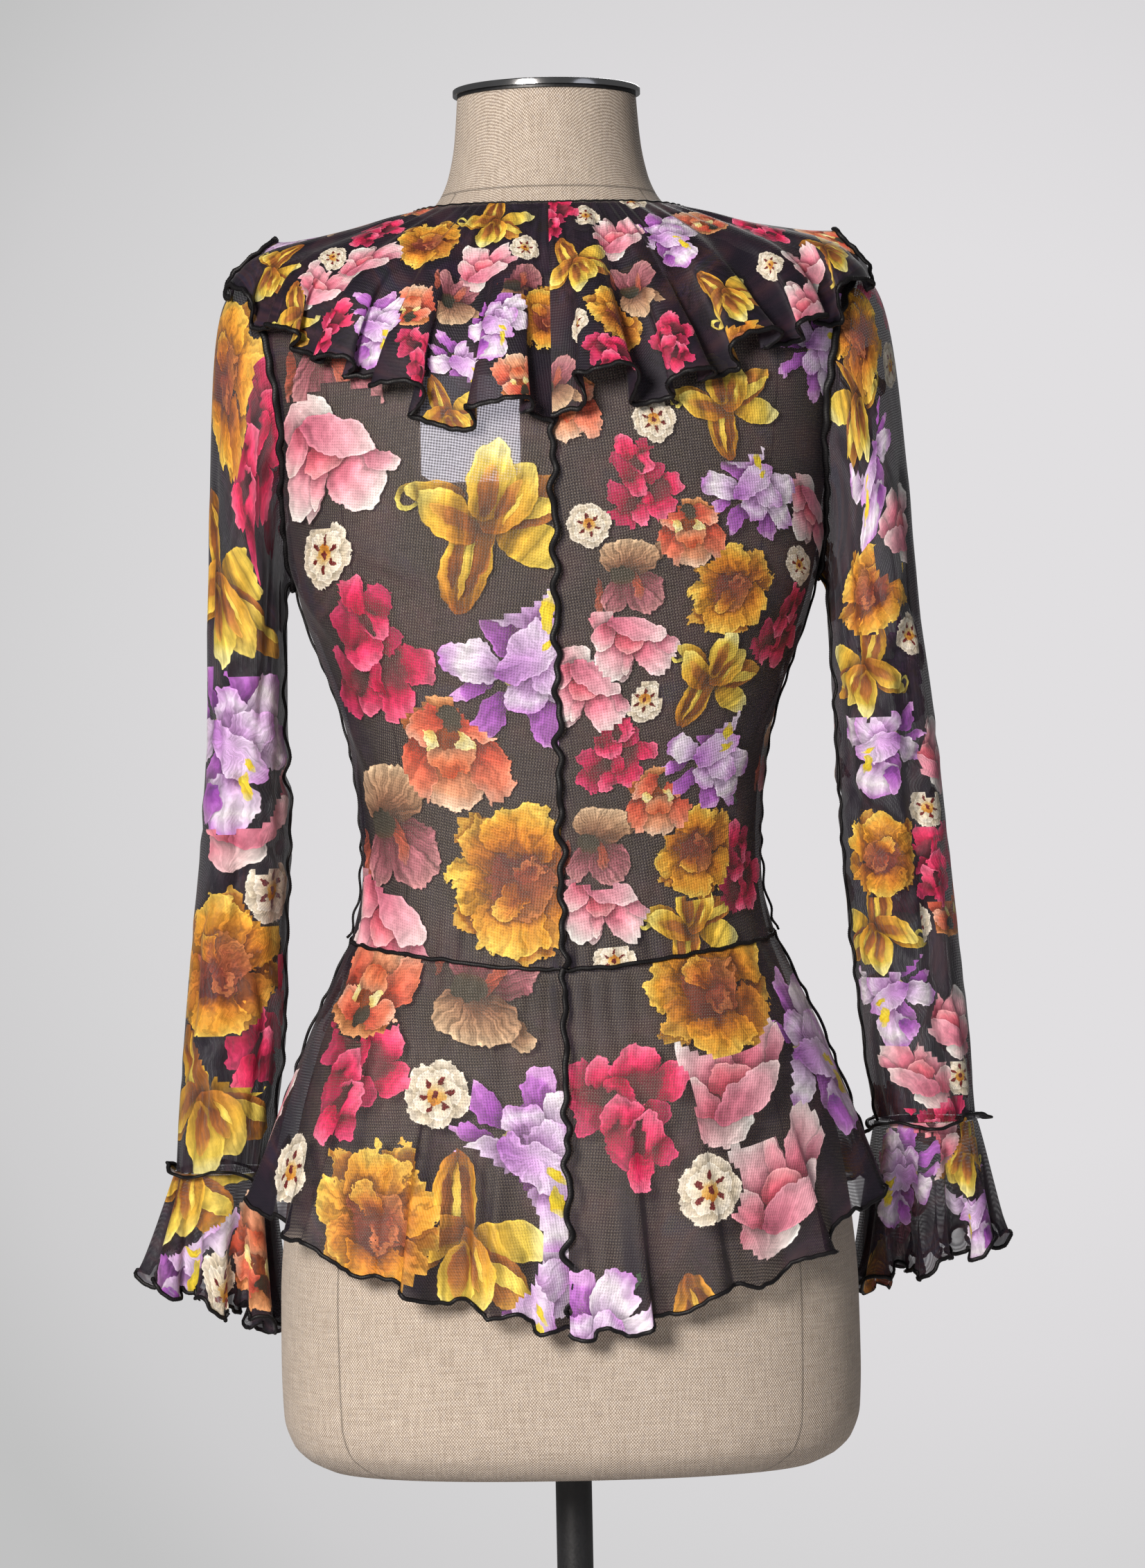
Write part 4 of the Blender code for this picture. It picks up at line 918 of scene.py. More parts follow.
def lay_flowers(name, points, scale, seed):
    """Flowers where the table puts them, and then wherever there is room for more."""
    # A flower lies at the point nearest to its place as seen from the back, and on a tube never on the far side.
    at_back = np.where(points[..., 1] < points[..., 1].mean(axis=1, keepdims=True), 0, 1000)
    is_tube = name.startswith(("sleeve", "cuff"))
    placed = []
    for flower, out, height in LAID.get(name, ()):
        away = np.hypot(points[..., 0] - out, points[..., 2] - height) + 0.15 * points[..., 1]
        away += at_back if is_tube else 0
        row, column = np.unravel_index(np.argmin(away), away.shape)
        placed.append((flower, row, column, height - points[row, column, 2]))
    rng = np.random.default_rng(seed)
    rows, columns = points.shape[:2]
    centres = [points[row, column] for _, row, column, _ in placed]
    radii = [FLOWERS[flower].radius * scale for flower, *_ in placed]
    kinds = itertools.cycle(FILLING[seed % 5:] + FILLING[:seed % 5])
    flower = next(kinds)
    for index in rng.permutation(rows * columns)[:TRIES]:
        row, column = divmod(int(index), columns)
        radius = FLOWERS[flower].radius * scale
        away = np.linalg.norm(np.array(centres).reshape(-1, 3) - points[row, column], axis=1)
        if (away > SPARE * (np.array(radii) + radius)).all():
            placed.append((flower, row, column, 0))
            centres.append(points[row, column])
            radii.append(radius)
            flower = next(kinds)
    turns = rng.uniform(-TILT, TILT, len(placed))
    return [Placed(*place, radius, turn) for place, radius, turn in zip(placed, radii, turns)]


def spans(points):
    """For each point of a grid, the length of cloth along its row, and down its column."""
    across = np.linalg.norm(np.diff(points, axis=1), axis=-1)
    down = np.linalg.norm(np.diff(points, axis=0), axis=-1)
    return np.pad(across.cumsum(axis=1), ((0, 0), (1, 0))), np.pad(down.cumsum(axis=0), ((1, 0), (0, 0)))


def corners(values):
    """The values at the four corners of each square of a grid."""
    return np.stack([values[:-1, :-1], values[:-1, 1:], values[1:, 1:], values[1:, :-1]], -1).reshape(-1, 4)


def give_corners(mesh, name, values):
    """Stores a number, or three, for each corner of each face, where materials can read them."""
    kind, field = ("FLOAT_VECTOR", "vector") if values.ndim == 3 else ("FLOAT", "value")
    made = mesh.attributes.new(name, kind, "CORNER")
    made.data.foreach_set(field, values.reshape(-1).astype(np.float32))


def print_on(mesh, name, points, scale, seed, flipped, parted):
    """Sets each face's flower, and its corners' places on the cloth and within the flower."""
    across, down = spans(points)
    nearest = np.full((points.shape[0] - 1) * (points.shape[1] - 1), FLOWER_REACH)
    kind = np.zeros(len(nearest), int)
    motif = np.tile(BLANK, (len(nearest), 4, 1))
    for number, place in enumerate(lay_flowers(name, points, scale, seed)):
        x = across - across[:, place.column][:, None]
        y = down[place.row][None, :] - down - place.above
        x = x * (1 if points[0, -1, 0] >= points[0, 0, 0] else -1)
        turn = math.radians(place.turn)
        local = np.stack([
            corners(x * math.cos(turn) + y * math.sin(turn)), corners(y * math.cos(turn) - x * math.sin(turn)),
        ], -1) / place.radius
        away = np.linalg.norm(local.mean(axis=1), axis=-1)
        won = (away < nearest) & (nearest > 1)
        nearest[won] = away[won]
        kind[won] = 1 + FLOWER_NAMES.index(place.flower)
        motif[won, :, :2] = local[won]
        motif[won, :, 2] = number * VARIETY
    panel = name.split("_")[0]
    openness = OPENNESS[panel] - FOLD_CLOSING * flanks(points)
    if panel in ("back", "peplum", "front"):
        turn_about_pole = np.degrees(np.arctan2(np.abs(points[..., 0]), -points[..., 1]))
        openness -= SIDE_CLOSING * bump(turn_about_pole - 90, 22)
    place_on_cloth = np.stack([corners(across), corners(down), corners(openness)], -1)
    order = [3, 2, 1, 0] if flipped else [0, 1, 2, 3]
    drawn = np.arange(len(kind)) % (points.shape[1] - 1) != parted
    give_corners(mesh, "motif", motif[drawn][:, order])
    give_corners(mesh, "cloth", place_on_cloth[drawn][:, order])
    mesh.polygons.foreach_set("material_index", kind[drawn].astype(np.int32))


def petal_stops(petal, look):
    """What lies over the petals beneath, from this one's middle outwards: its own colour, dimmer where it folds just
    inside its rim, and then its shadow."""
    profile = [
        (0.0, "FBFBFB", 0 if look.hollow else 1), (look.hollow or 0.4, "F4F4F4", 0 if look.hollow else 1),
        (max(look.hollow + 0.06, 0.6), "ECECEC", 1), (0.84, "E6E6E6", 1), (0.95, "FFFFFF", 1), (0.985, "F4F4F4", 1),
        (1.0, "140A0A", look.shadow), (1.5, "140A0A", 0),
    ]
    return [(OUTLINE * (petal.point + at), code, alpha) for at, code, alpha in profile]


def draw_petal(tree, under, at, petal):
    """The colours of a flower with one more petal laid over what is drawn so far."""
    look = LOOKS[petal.look]
    stretch = math.sqrt(1 + 2 * petal.point)
    place = add(tree, "ShaderNodeMapping", at, (petal.x, petal.y, 0), (0, 0, -math.radians(petal.lean)),
                (petal.half_width / OUTLINE, petal.half_length / stretch / OUTLINE, 1000), vector_type="TEXTURE")
    folded = add(tree, "ShaderNodeVectorMath", place, operation="ABSOLUTE")
    away = add(tree, "ShaderNodeVectorMath", folded, (-petal.point * OUTLINE, 0, 0), operation="DISTANCE")
    shade = add(tree, "ShaderNodeValToRGB", away.outputs["Value"], stops=petal_stops(petal, look))
    tip = OUTLINE * stretch
    risen = add(tree, "ShaderNodeVectorMath", place, (0, -tip, 0), operation="DISTANCE")
    tint = add(tree, "ShaderNodeValToRGB", risen.outputs["Value"],
               stops=[(2 * tip * at, code, 1) for at, code in zip((0.08, 0.38, 0.7, 0.95), look[:4])])
    own = add(tree, "ShaderNodeVectorMath", tint, shade, operation="MULTIPLY")
    return add(tree, "ShaderNodeMix", shade.outputs["Alpha"], under, own, data_type="RGBA")


def draw_flower(tree, ground, flower):
    """The colours of a flower on the print, over the ground, with veins that fan out from its root."""
    motif = add(tree, "ShaderNodeAttribute", attribute_name="motif").outputs["Vector"]
    ruffle = add(tree, "ShaderNodeTexNoise", motif, flower.fineness, 3.0, 0.6)
    centred = add(tree, "ShaderNodeVectorMath", ruffle.outputs["Color"], (0.5, 0.5, 0.5), operation="SUBTRACT")
    pushed = (4 * flower.ruffle, 4 * flower.ruffle, 0)
    at = add(tree, "ShaderNodeVectorMath", centred, pushed, motif, operation="MULTIPLY_ADD")
    drawn = ground
    for petal in flower.petals:
        drawn = draw_petal(tree, drawn, at, petal)
    from_root = add(tree, "ShaderNodeVectorMath", at, (*flower.root, 0), operation="SUBTRACT")
    round_it = add(tree, "ShaderNodeTexGradient", from_root, gradient_type="RADIAL")
    out = add(tree, "ShaderNodeVectorMath", from_root, operation="LENGTH")
    out_from_root = add(tree, "ShaderNodeMath", out.outputs["Value"], 1.8, operation="MULTIPLY")
    round_veins = add(tree, "ShaderNodeMath", round_it, flower.veins * 2.5, operation="MULTIPLY")
    veins_at = add(tree, "ShaderNodeCombineXYZ", round_veins, out_from_root)
    veins = add(tree, "ShaderNodeTexNoise", veins_at, 1.0, 4.0, 0.6)
    strength = flower.vein_strength
    shade = add(tree, "ShaderNodeMapRange", veins, 0.34, 0.66, 1 - 1.8 * strength, 1 + 1.2 * strength)
    mottle = add(tree, "ShaderNodeTexNoise", at, 5.0, 4.0, 0.65)
    blotch = add(tree, "ShaderNodeMapRange", mottle, 0.35, 0.65, 0.78, 1.16)
    shaded = add(tree, "ShaderNodeMath", shade, blotch, operation="MULTIPLY")
    return add(tree, "ShaderNodeVectorMath", drawn, shaded, operation="MULTIPLY")


# The net's real holes are 1.3 mm apart, which is too fine to show, so they are drawn twice as coarse.
NET_PITCH = 2.4
UNEVEN_KNIT = 1.1  # how much the net's holes differ in size, as a share of their waves' height
CLOUD = 0.02  # blotches per millimetre in the print's dark ground
FILLED = 0.36  # how much of the net's openness the thick pale inks of its flowers fill


def printed_mesh(name, flower=None):
    """Sheer polyester net, knitted and then printed: matt dark yarn with holes that the eye sees through, and a soft
    sheen where folds face the light."""
    made, tree = new_material(name)
    cloth = add(tree, "ShaderNodeAttribute", attribute_name="cloth").outputs["Vector"]
    cloudy = add(tree, "ShaderNodeTexNoise", cloth, CLOUD, 3.0)
    ground = add(tree, "ShaderNodeValToRGB", cloudy, stops=(
        (0.36, "1A1422", 1), (0.47, "1E1624", 1), (0.54, "2C1C2A", 1), (0.60, "3A252E", 1), (0.66, "2A2236", 1),
        (0.72, "252730", 1), (0.80, "1E1828", 1),
    ))
    ink = draw_flower(tree, ground, flower) if flower else ground
    turned = add(tree, "ShaderNodeMapping", cloth, (0, 0, 0), (0, 0, math.radians(38)),
                 (2 * math.pi / NET_PITCH,) * 3)
    apart = add(tree, "ShaderNodeSeparateXYZ", turned)
    waves = [add(tree, "ShaderNodeMath", axis, operation="SINE") for axis in (apart.outputs["X"], apart.outputs["Y"])]
    even = add(tree, "ShaderNodeMath", *waves, operation="MULTIPLY")
    uneven = add(tree, "ShaderNodeTexNoise", cloth, 1.4, 1.0)
    net = add(tree, "ShaderNodeMath", uneven, UNEVEN_KNIT, even, operation="MULTIPLY_ADD")
    openness = add(tree, "ShaderNodeSeparateXYZ", cloth).outputs["Z"]
    depth = add(tree, "ShaderNodeMapRange", openness, -1.4, 1.2, 0.04, 0.64)
    hole = add(tree, "ShaderNodeMapRange", net, -0.6, 1.7, 0.0, -1.0, interpolation_type="SMOOTHSTEP")
    cover = add(tree, "ShaderNodeMath", hole, depth, 0.93, operation="MULTIPLY_ADD")
    brightness = add(tree, "ShaderNodeRGBToBW", ink)
    filled = add(tree, "ShaderNodeMapRange", brightness, 0.02, 0.3, 0.0, FILLED)
    cover = add(tree, "ShaderNodeMath", cover, filled, operation="ADD", use_clamp=True)
    relief = add(tree, "ShaderNodeBump", 0.3, 0.0004, None, net, invert=True)
    shader = add(tree, "ShaderNodeBsdfPrincipled", named={
        "Base Color": ink, "Roughness": 0.6, "Specular IOR Level": 0.35, "Sheen Weight": 0.1,
        "Sheen Roughness": 0.4, "Alpha": cover, "Normal": relief,
    })
    add(tree, "ShaderNodeOutputMaterial", shader)
    return made


PRINTED = [printed_mesh("printed_net_ground")]
PRINTED += [printed_mesh(f"printed_net_{name}", flower) for name, flower in FLOWERS.items()]


# ------------------------------------------------------------------ other finishes


def overlock_thread():
    """Wooly polyester overlock thread: black and slightly glossy, so that its loops catch small highlights."""
    made, tree = new_material("black_overlock_thread")
    place = add(tree, "ShaderNodeTexCoord").outputs["Object"]
    fuzz = add(tree, "ShaderNodeTexNoise", place, 1800.0, 2.0)
    tint = add(tree, "ShaderNodeValToRGB", fuzz, stops=((0.3, "060506", 1), (0.7, "141216", 1)))
    relief = add(tree, "ShaderNodeBump", 0.4, 0.0002, None, fuzz)
    shader = add(tree, "ShaderNodeBsdfPrincipled", named={
        "Base Color": tint, "Roughness": 0.5, "Specular IOR Level": 0.3, "Normal": relief,
    })
    add(tree, "ShaderNodeOutputMaterial", shader)
    return made


THREAD = overlock_thread()

# The linen's real threads are 0.8 mm apart, which is too fine to show, so they are drawn twice as coarse.
THREAD_PITCH = (1.7, 2.1)
SEAM_HALF_WIDTH = 1.1  # of the shadow in a seam


def linen():
    """Undyed slub linen, plain woven: where its oatmeal threads come to the top they make rows of pale dots over
    shadowed gaps. A few threads are thicker, and the cloth is quite matt."""
    made, tree = new_material("slub_linen")
    cloth = add(tree, "ShaderNodeAttribute", attribute_name="cloth").outputs["Vector"]
    per_mm = (2 * math.pi / THREAD_PITCH[0], 2 * math.pi / THREAD_PITCH[1], 0)
    scaled = add(tree, "ShaderNodeVectorMath", cloth, per_mm, operation="MULTIPLY")
    wavy = add(tree, "ShaderNodeTexNoise", cloth, 0.16, 2.0)
    shaken = add(tree, "ShaderNodeVectorMath", wavy.outputs["Color"], (5.0, 5.0, 0), scaled, operation="MULTIPLY_ADD")
    apart = add(tree, "ShaderNodeSeparateXYZ", shaken)
    waves = [add(tree, "ShaderNodeMath", axis, operation="SINE") for axis in (apart.outputs["X"], apart.outputs["Y"])]
    grains = add(tree, "ShaderNodeMath", *waves, operation="MULTIPLY")
    weave = add(tree, "ShaderNodeMapRange", grains, -0.7, 0.9, 0.0, 1.0, interpolation_type="SMOOTHSTEP")
    slubs = []
    for stretch in ((0.05, 0.7, 1), (0.7, 0.05, 1)):
        stretched = add(tree, "ShaderNodeVectorMath", cloth, stretch, operation="MULTIPLY")
        slubs.append(add(tree, "ShaderNodeTexNoise", stretched, 1.0, 3.0, 0.7))
    slub = add(tree, "ShaderNodeMath", *slubs, operation="ADD")
    slubby = add(tree, "ShaderNodeMath", slub, 0.8, weave, operation="MULTIPLY_ADD")
    tint = add(tree, "ShaderNodeValToRGB", add(tree, "ShaderNodeMapRange", slubby, 0.6, 2.0, 0.0, 1.0), stops=(
        (0.05, "8B7C6E", 1), (0.35, "AA9A8B", 1), (0.6, "CCBEAF", 1), (0.9, "EADFD2", 1),
    ))
    cool = add(tree, "ShaderNodeTexNoise", cloth, 0.35, 2.0)
    cool_share = add(tree, "ShaderNodeMapRange", cool, 0.5, 0.75, 0.0, 0.25)
    mixed = add(tree, "ShaderNodeMix", cool_share, tint, colour("A9A3A6"), data_type="RGBA")
    # painted shadow: the linen's colour is darkened along the cover's seams
    seam = add(tree, "ShaderNodeAttribute", attribute_name="seam")
    painted_seam_shadow = add(tree, "ShaderNodeMapRange", seam.outputs["Fac"], 0.0, SEAM_HALF_WIDTH, 0.45, 1.0)
    shaded = add(tree, "ShaderNodeVectorMath", mixed, painted_seam_shadow, operation="MULTIPLY")
    relief = add(tree, "ShaderNodeBump", 0.5, 0.0005, None, slubby)
    shader = add(tree, "ShaderNodeBsdfPrincipled", named={
        "Base Color": shaded, "Roughness": 0.86, "Specular IOR Level": 0.25, "Sheen Weight": 0.1, "Normal": relief,
    })
    add(tree, "ShaderNodeOutputMaterial", shader)
    return made


def polished_steel():
    """Mild steel, turned and polished: a slightly hazy mirror with faint rings from the lathe. It shows the dim room
    as a dark grey, and a lamp as a crisp highlight."""
    made, tree = new_material("polished_steel_plate")
    place = add(tree, "ShaderNodeTexCoord").outputs["Object"]
    rings = add(tree, "ShaderNodeTexWave", place, 160.0, 1.0, 2.0, wave_type="RINGS", rings_direction="Z")
    rough = add(tree, "ShaderNodeMapRange", rings.outputs["Fac"], 0.0, 1.0, 0.14, 0.22)
    tint = add(tree, "ShaderNodeValToRGB", rings.outputs["Fac"], stops=((0.0, "BFBFC1", 1), (1.0, "CDCDCF", 1)))
    shader = add(tree, "ShaderNodeBsdfPrincipled", named={"Base Color": tint, "Metallic": 1.0, "Roughness": rough})
    add(tree, "ShaderNodeOutputMaterial", shader)
    return made


def powder_coat():
    """Black powder coat, baked on steel: satin, with the fine dimples of the melted powder."""
    made, tree = new_material("black_powder_coat")
    place = add(tree, "ShaderNodeTexCoord").outputs["Object"]
    dimples = add(tree, "ShaderNodeTexNoise", place, 700.0, 2.0)
    tint = add(tree, "ShaderNodeValToRGB", dimples, stops=((0.3, "17181A", 1), (0.7, "1F2023", 1)))
    rough = add(tree, "ShaderNodeMapRange", dimples, 0.3, 0.7, 0.36, 0.48)
    relief = add(tree, "ShaderNodeBump", 0.3, 0.0002, None, dimples)
    shader = add(tree, "ShaderNodeBsdfPrincipled", named={"Base Color": tint, "Roughness": rough, "Normal": relief})
    add(tree, "ShaderNodeOutputMaterial", shader)
    return made


def label_satin():
    """White woven satin: smooth and a little shiny, with fine ribs along its weft. It has a painted glow that makes
    it look brighter than the lamps alone light it."""
    made, tree = new_material("white_label_satin")
    place = add(tree, "ShaderNodeTexCoord").outputs["Object"]
    ribs = add(tree, "ShaderNodeTexWave", place, 190.0, 0.4, 1.0, bands_direction="Z")
    tint = add(tree, "ShaderNodeValToRGB", ribs.outputs["Fac"], stops=((0.0, "E4E2EA", 1), (1.0, "F6F5FA", 1)))
    relief = add(tree, "ShaderNodeBump", 0.3, 0.0002, None, ribs.outputs["Fac"])
    # painted glow: the label emits a little light of its own, as though it were lit more brightly
    shader = add(tree, "ShaderNodeBsdfPrincipled", named={
        "Base Color": tint, "Roughness": 0.5, "Normal": relief, "Emission Color": colour("F0ECFA"),
        "Emission Strength": 0.9,
    })
    add(tree, "ShaderNodeOutputMaterial", shader)
    return made


# ------------------------------------------------------------------ cloth pieces


def grid_object(name, points, closed=False, parted=-1):
    """A mesh through a grid of points, facing outwards. A closed one's last column is its first again, and a parted
    one has no faces after one of its columns."""
    rows, columns = points.shape[:2]
    kept = columns - 1 if closed else columns
    middle = points.mean(axis=1, keepdims=True) if closed else points * (0, 0, 1)
    flipped = bool((normals_of(points) * (points - middle)).sum() > 0)
    faces = [
        (r * kept + a, r * kept + (a + 1) % kept, (r + 1) * kept + (a + 1) % kept, (r + 1) * kept + a)
        for r in range(rows - 1)
        for a in range(columns - 1) if a != parted
    ]
    faces = [face[::-1] for face in faces] if flipped else faces
    mesh = bpy.data.meshes.new(name)
    mesh.from_pydata((points[:, :kept].reshape(-1, 3) * MM + (0, 0, FORM_BOTTOM)).tolist(), [], faces)
    mesh.shade_smooth()
    made = bpy.data.objects.new(name, mesh)
    bpy.context.scene.collection.objects.link(made)
    return made, flipped


def dress(piece, slot, *materials):
    """Gives a finished piece its materials, and makes it ride on the blouse's one body."""
    piece.data.materials.clear()
    for finish in materials:
        piece.data.materials.append(finish)
    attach(piece, "root")
    return piece


def cloth_piece(name, node, points, scale, seed, closed=False, parted=-1):
    """A piece of the printed cloth through a grid of points, with the print of a node's panel."""
    piece, flipped = grid_object(name, points, closed, parted)
    dress(piece, "printed_mesh", *PRINTED)
    print_on(piece.data, node, points, scale, seed, flipped, parted)
    return piece


# ------------------------------------------------------------------ sewn edges

# The sizes of a serged edge: its cord's width and thickness, its thread, the step between its loops and how far
# they slant, in radians.
Stitching = namedtuple("Stitching", "width thickness thread pitch slant")
LOOP_ANGLE = math.radians(250)  # how far a loop of thread goes round the cord
EDGE_STEP = 2.0  # between the points of a sewn edge
HEM = Stitching(2.6 * MM, 1.8 * MM, 0.45 * MM, 1.4 * MM, 0.25)
COLLAR_HEM = Stitching(3.2 * MM, 2.1 * MM, 0.5 * MM, 1.5 * MM, 0.25)
NECK_FOLD = Stitching(1.2 * MM, 0.9 * MM, 0.1 * MM, 20 * MM, 0.0)
SEAM = Stitching(2.6 * MM, 1.8 * MM, 0.45 * MM, 1.4 * MM, 0.25)
SIDE_SEAM = Stitching(2.0 * MM, 1.5 * MM, 0.4 * MM, 1.4 * MM, 0.25)
CENTRE_SEAM = Stitching(3.7 * MM, 2.0 * MM, 0.5 * MM, 1.5 * MM, 0.25)
ARMHOLE_SEAM = Stitching(4.6 * MM, 2.4 * MM, 0.6 * MM, 1.7 * MM, 0.3)


def group_input(tree, name, kind, value=None):
    """Names an input of a geometry node tree."""
    socket = tree.interface.new_socket(name, in_out="INPUT", socket_type=kind)
    if value is not None:
        socket.default_value = value


def overlock_tree():
    """Geometry nodes that sew along a path: a flat cord with loops of thread round it. The path's points carry the
    direction that faces out of the cloth."""
    tree = bpy.data.node_groups.new("overlock", "GeometryNodeTree")
    group_input(tree, "Geometry", "NodeSocketGeometry")
    for name in Stitching._fields:
        group_input(tree, name, "NodeSocketFloat", 0.001)
    group_input(tree, "material", "NodeSocketMaterial")
    tree.interface.new_socket("Geometry", in_out="OUTPUT", socket_type="NodeSocketGeometry")
    given = add(tree, "NodeGroupInput").outputs
    out = add(tree, "GeometryNodeInputNamedAttribute", "out", data_type="FLOAT_VECTOR")
    bare = add(tree, "GeometryNodeMeshToCurve", given["Geometry"])
    path = add(tree, "GeometryNodeSetCurveNormal", bare, None, out, mode="FREE")
    half_thickness = add(tree, "ShaderNodeMath", given["thickness"], 0.5, operation="MULTIPLY")
    half_width = add(tree, "ShaderNodeMath", given["width"], 0.5, operation="MULTIPLY")
    half_thread = add(tree, "ShaderNodeMath", given["thread"], 0.5, operation="MULTIPLY")
    size = add(tree, "ShaderNodeCombineXYZ", half_thickness, half_width, 1.0)
    circle = add(tree, "GeometryNodeCurvePrimitiveCircle", 8, 1.0)
    section = add(tree, "GeometryNodeTransform", circle, None, None, size)
    cord = add(tree, "GeometryNodeCurveToMesh", path, section, None, True)
    arc = add(tree, "GeometryNodeCurveArc", 6, 1.0, -LOOP_ANGLE / 2, LOOP_ANGLE)
    bent = add(tree, "GeometryNodeTransform", arc, None, None, size)
    strand = add(tree, "GeometryNodeCurvePrimitiveCircle", 3, half_thread)
    loop = add(tree, "GeometryNodeCurveToMesh", bent, strand, None, True)
    at = add(tree, "GeometryNodeCurveToPoints", path, given["pitch"], mode="LENGTH")
    upright = add(tree, "FunctionNodeAxesToRotation", at.outputs["Tangent"], at.outputs["Normal"])
    slant = add(tree, "FunctionNodeAxisAngleToRotation", (1, 0, 0), given["slant"])
    turned = add(tree, "FunctionNodeRotateRotation", upright, slant, rotation_space="LOCAL")
    loops = add(tree, "GeometryNodeInstanceOnPoints", at, None, loop, None, None, turned)
    both = add(tree, "GeometryNodeJoinGeometry")
    for part in (loops, cord):
        tree.links.new(part.outputs[0], both.inputs[0])
    real = add(tree, "GeometryNodeRealizeInstances", both)
    finished = add(tree, "GeometryNodeSetMaterial", real, None, given["material"])
    add(tree, "NodeGroupOutput", finished)
    return tree


OVERLOCK = overlock_tree()


def outward_normals(points, closed):
    """The directions out of the cloth at each point of a grid."""
    normal = normals_of(points)
    middle = points.mean(axis=1, keepdims=True) if closed else points * (0, 0, 1)
    return -normal if (normal * (points - middle)).sum() < 0 else normal


def rim(points, row=None, column=None, closed=False):
    """The line along one row or column of a grid, and the directions out of the cloth there."""
    normal = outward_normals(points, closed)
    return (points[row], normal[row]) if column is None else (points[:, column], normal[:, column])


def evenly_along(path, values, step):
    """Values that were known at a path's points, at even steps along it."""
    length = np.concatenate([[0], np.linalg.norm(np.diff(path, axis=0), axis=1).cumsum()])
    at = np.linspace(0, length[-1], max(int(length[-1] / step), 2) + 1)
    return at, np.stack([np.interp(at, length, column) for column in values.T], -1)


def sewn_edge(name, path, out, stitching, sway, every, looped=False, slack=(1, 1)):
    """A serged edge or seam along a path on the cloth. It sways from side to side, once every so many millimetres,
    and the more so where it is slack: at the path's start and at its end."""
    _, out = evenly_along(path, out, EDGE_STEP)
    at, path = evenly_along(path, path, EDGE_STEP)
    ahead = np.gradient(path, axis=0)
    beside = np.cross(ahead, out)
    beside /= np.linalg.norm(beside, axis=-1, keepdims=True)
    waves = max(round(at[-1] / every), 1) if looped else at[-1] / every
    whole = 2 * np.pi * at / at[-1]
    swing = 0.7 * np.sin(waves * whole + 0.9 * np.sin(3 * whole)) * (0.7 + 0.3 * np.sin(5 * whole + 1))
    swing = swing + 0.35 * np.sin(round(1.7 * waves) * whole + 1.4 * np.sin(2 * whole))
    sway = sway * np.interp(at / at[-1], (0, 0.5, 1), (slack[0], 1, slack[1]))
    stand = stitching.thickness / MM / 2.6 + sway * (0.4 + 0.4 * np.sin(waves * whole + 2 + np.sin(4 * whole)))
    path = path + beside * (sway * swing)[:, None] + out * stand[:, None]
    count = len(path) - 1 if looped else len(path)
    links = [(i, (i + 1) % count) for i in range(count if looped else count - 1)]
    mesh = bpy.data.meshes.new(name)
    mesh.from_pydata((path[:count] * MM + (0, 0, FORM_BOTTOM)).tolist(), links, [])
    outs = mesh.attributes.new("out", "FLOAT_VECTOR", "POINT")
    outs.data.foreach_set("vector", out[:count].reshape(-1).astype(np.float32))
    piece = bpy.data.objects.new(name, mesh)
    bpy.context.scene.collection.objects.link(piece)
    sewing = piece.modifiers.new("Sewing", "NODES")
    sewing.node_group = OVERLOCK
    sockets = {item.name: item.identifier for item in OVERLOCK.interface.items_tree if item.in_out == "INPUT"}
    for size, value in stitching._asdict().items():
        sewing[sockets[size]] = value
    sewing[sockets["material"]] = THREAD
    sewn = piece.evaluated_get(bpy.context.evaluated_depsgraph_get())
    piece.data = bpy.data.meshes.new_from_object(sewn)
    piece.modifiers.clear()
    piece.data.shade_smooth()
    return dress(piece, "printed_mesh", THREAD)


# ------------------------------------------------------------------ the dress form and its stand

FORM_TOP = 825.5  # under the neck plate
FORM_SEAM_TURNS = (58, 122)  # of the form's cover, on each side
NECK_SEAM = 766


def dress_form():
    """The form's linen cover, with painted shadows along its seams, closed above and below."""
    turn = np.linspace(-180, 180, 181)
    heights = np.concatenate([
        np.linspace(0, 32, 12)[:-1], np.arange(32, 700, 5), np.arange(700, NECK_SEAM, 1.5),
        np.arange(NECK_SEAM, FORM_TOP, 3), [FORM_TOP],
    ])
    side = np.where(turn < 0, LEFT, RIGHT)
    points = np.array([form_point(side, np.abs(turn), height) for height in heights])
    across, down = spans(points)
    across -= across[:, [90]]
    to_seams = [np.abs(np.abs(across) - np.abs(across[:, [90 + seam // 2]])) for seam in FORM_SEAM_TURNS]
    to_neck = np.abs(points[..., 2] - NECK_SEAM)
    below_neck = np.where(points[..., 2] > NECK_SEAM, 99, 0)
    seam = np.minimum(np.min(to_seams, axis=0) + below_neck, to_neck)
    piece, flipped = grid_object("dress_form", points, closed=True)
    order = [3, 2, 1, 0] if flipped else [0, 1, 2, 3]
    place = np.stack([corners(across), corners(down), np.zeros_like(corners(down))], -1)
    give_corners(piece.data, "cloth", place[:, order])
    give_corners(piece.data, "seam", corners(seam)[:, order])
    close_ends(piece)
    dress(piece, "linen_cover", linen())
    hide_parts("form_torso")
    return piece


def close_ends(piece):
    """Fills a tube's two open ends."""
    shape = bmesh.new()
    shape.from_mesh(piece.data)
    rims = [edge for edge in shape.edges if edge.is_boundary]
    bmesh.ops.holes_fill(shape, edges=rims, sides=0)
    bmesh.ops.recalc_face_normals(shape, faces=shape.faces)
    shape.to_mesh(piece.data)
    shape.free()


TURNED_STEPS = 96  # round a turned piece
SHARP_EDGE = math.radians(35)  # an edge that turns further than this looks sharp


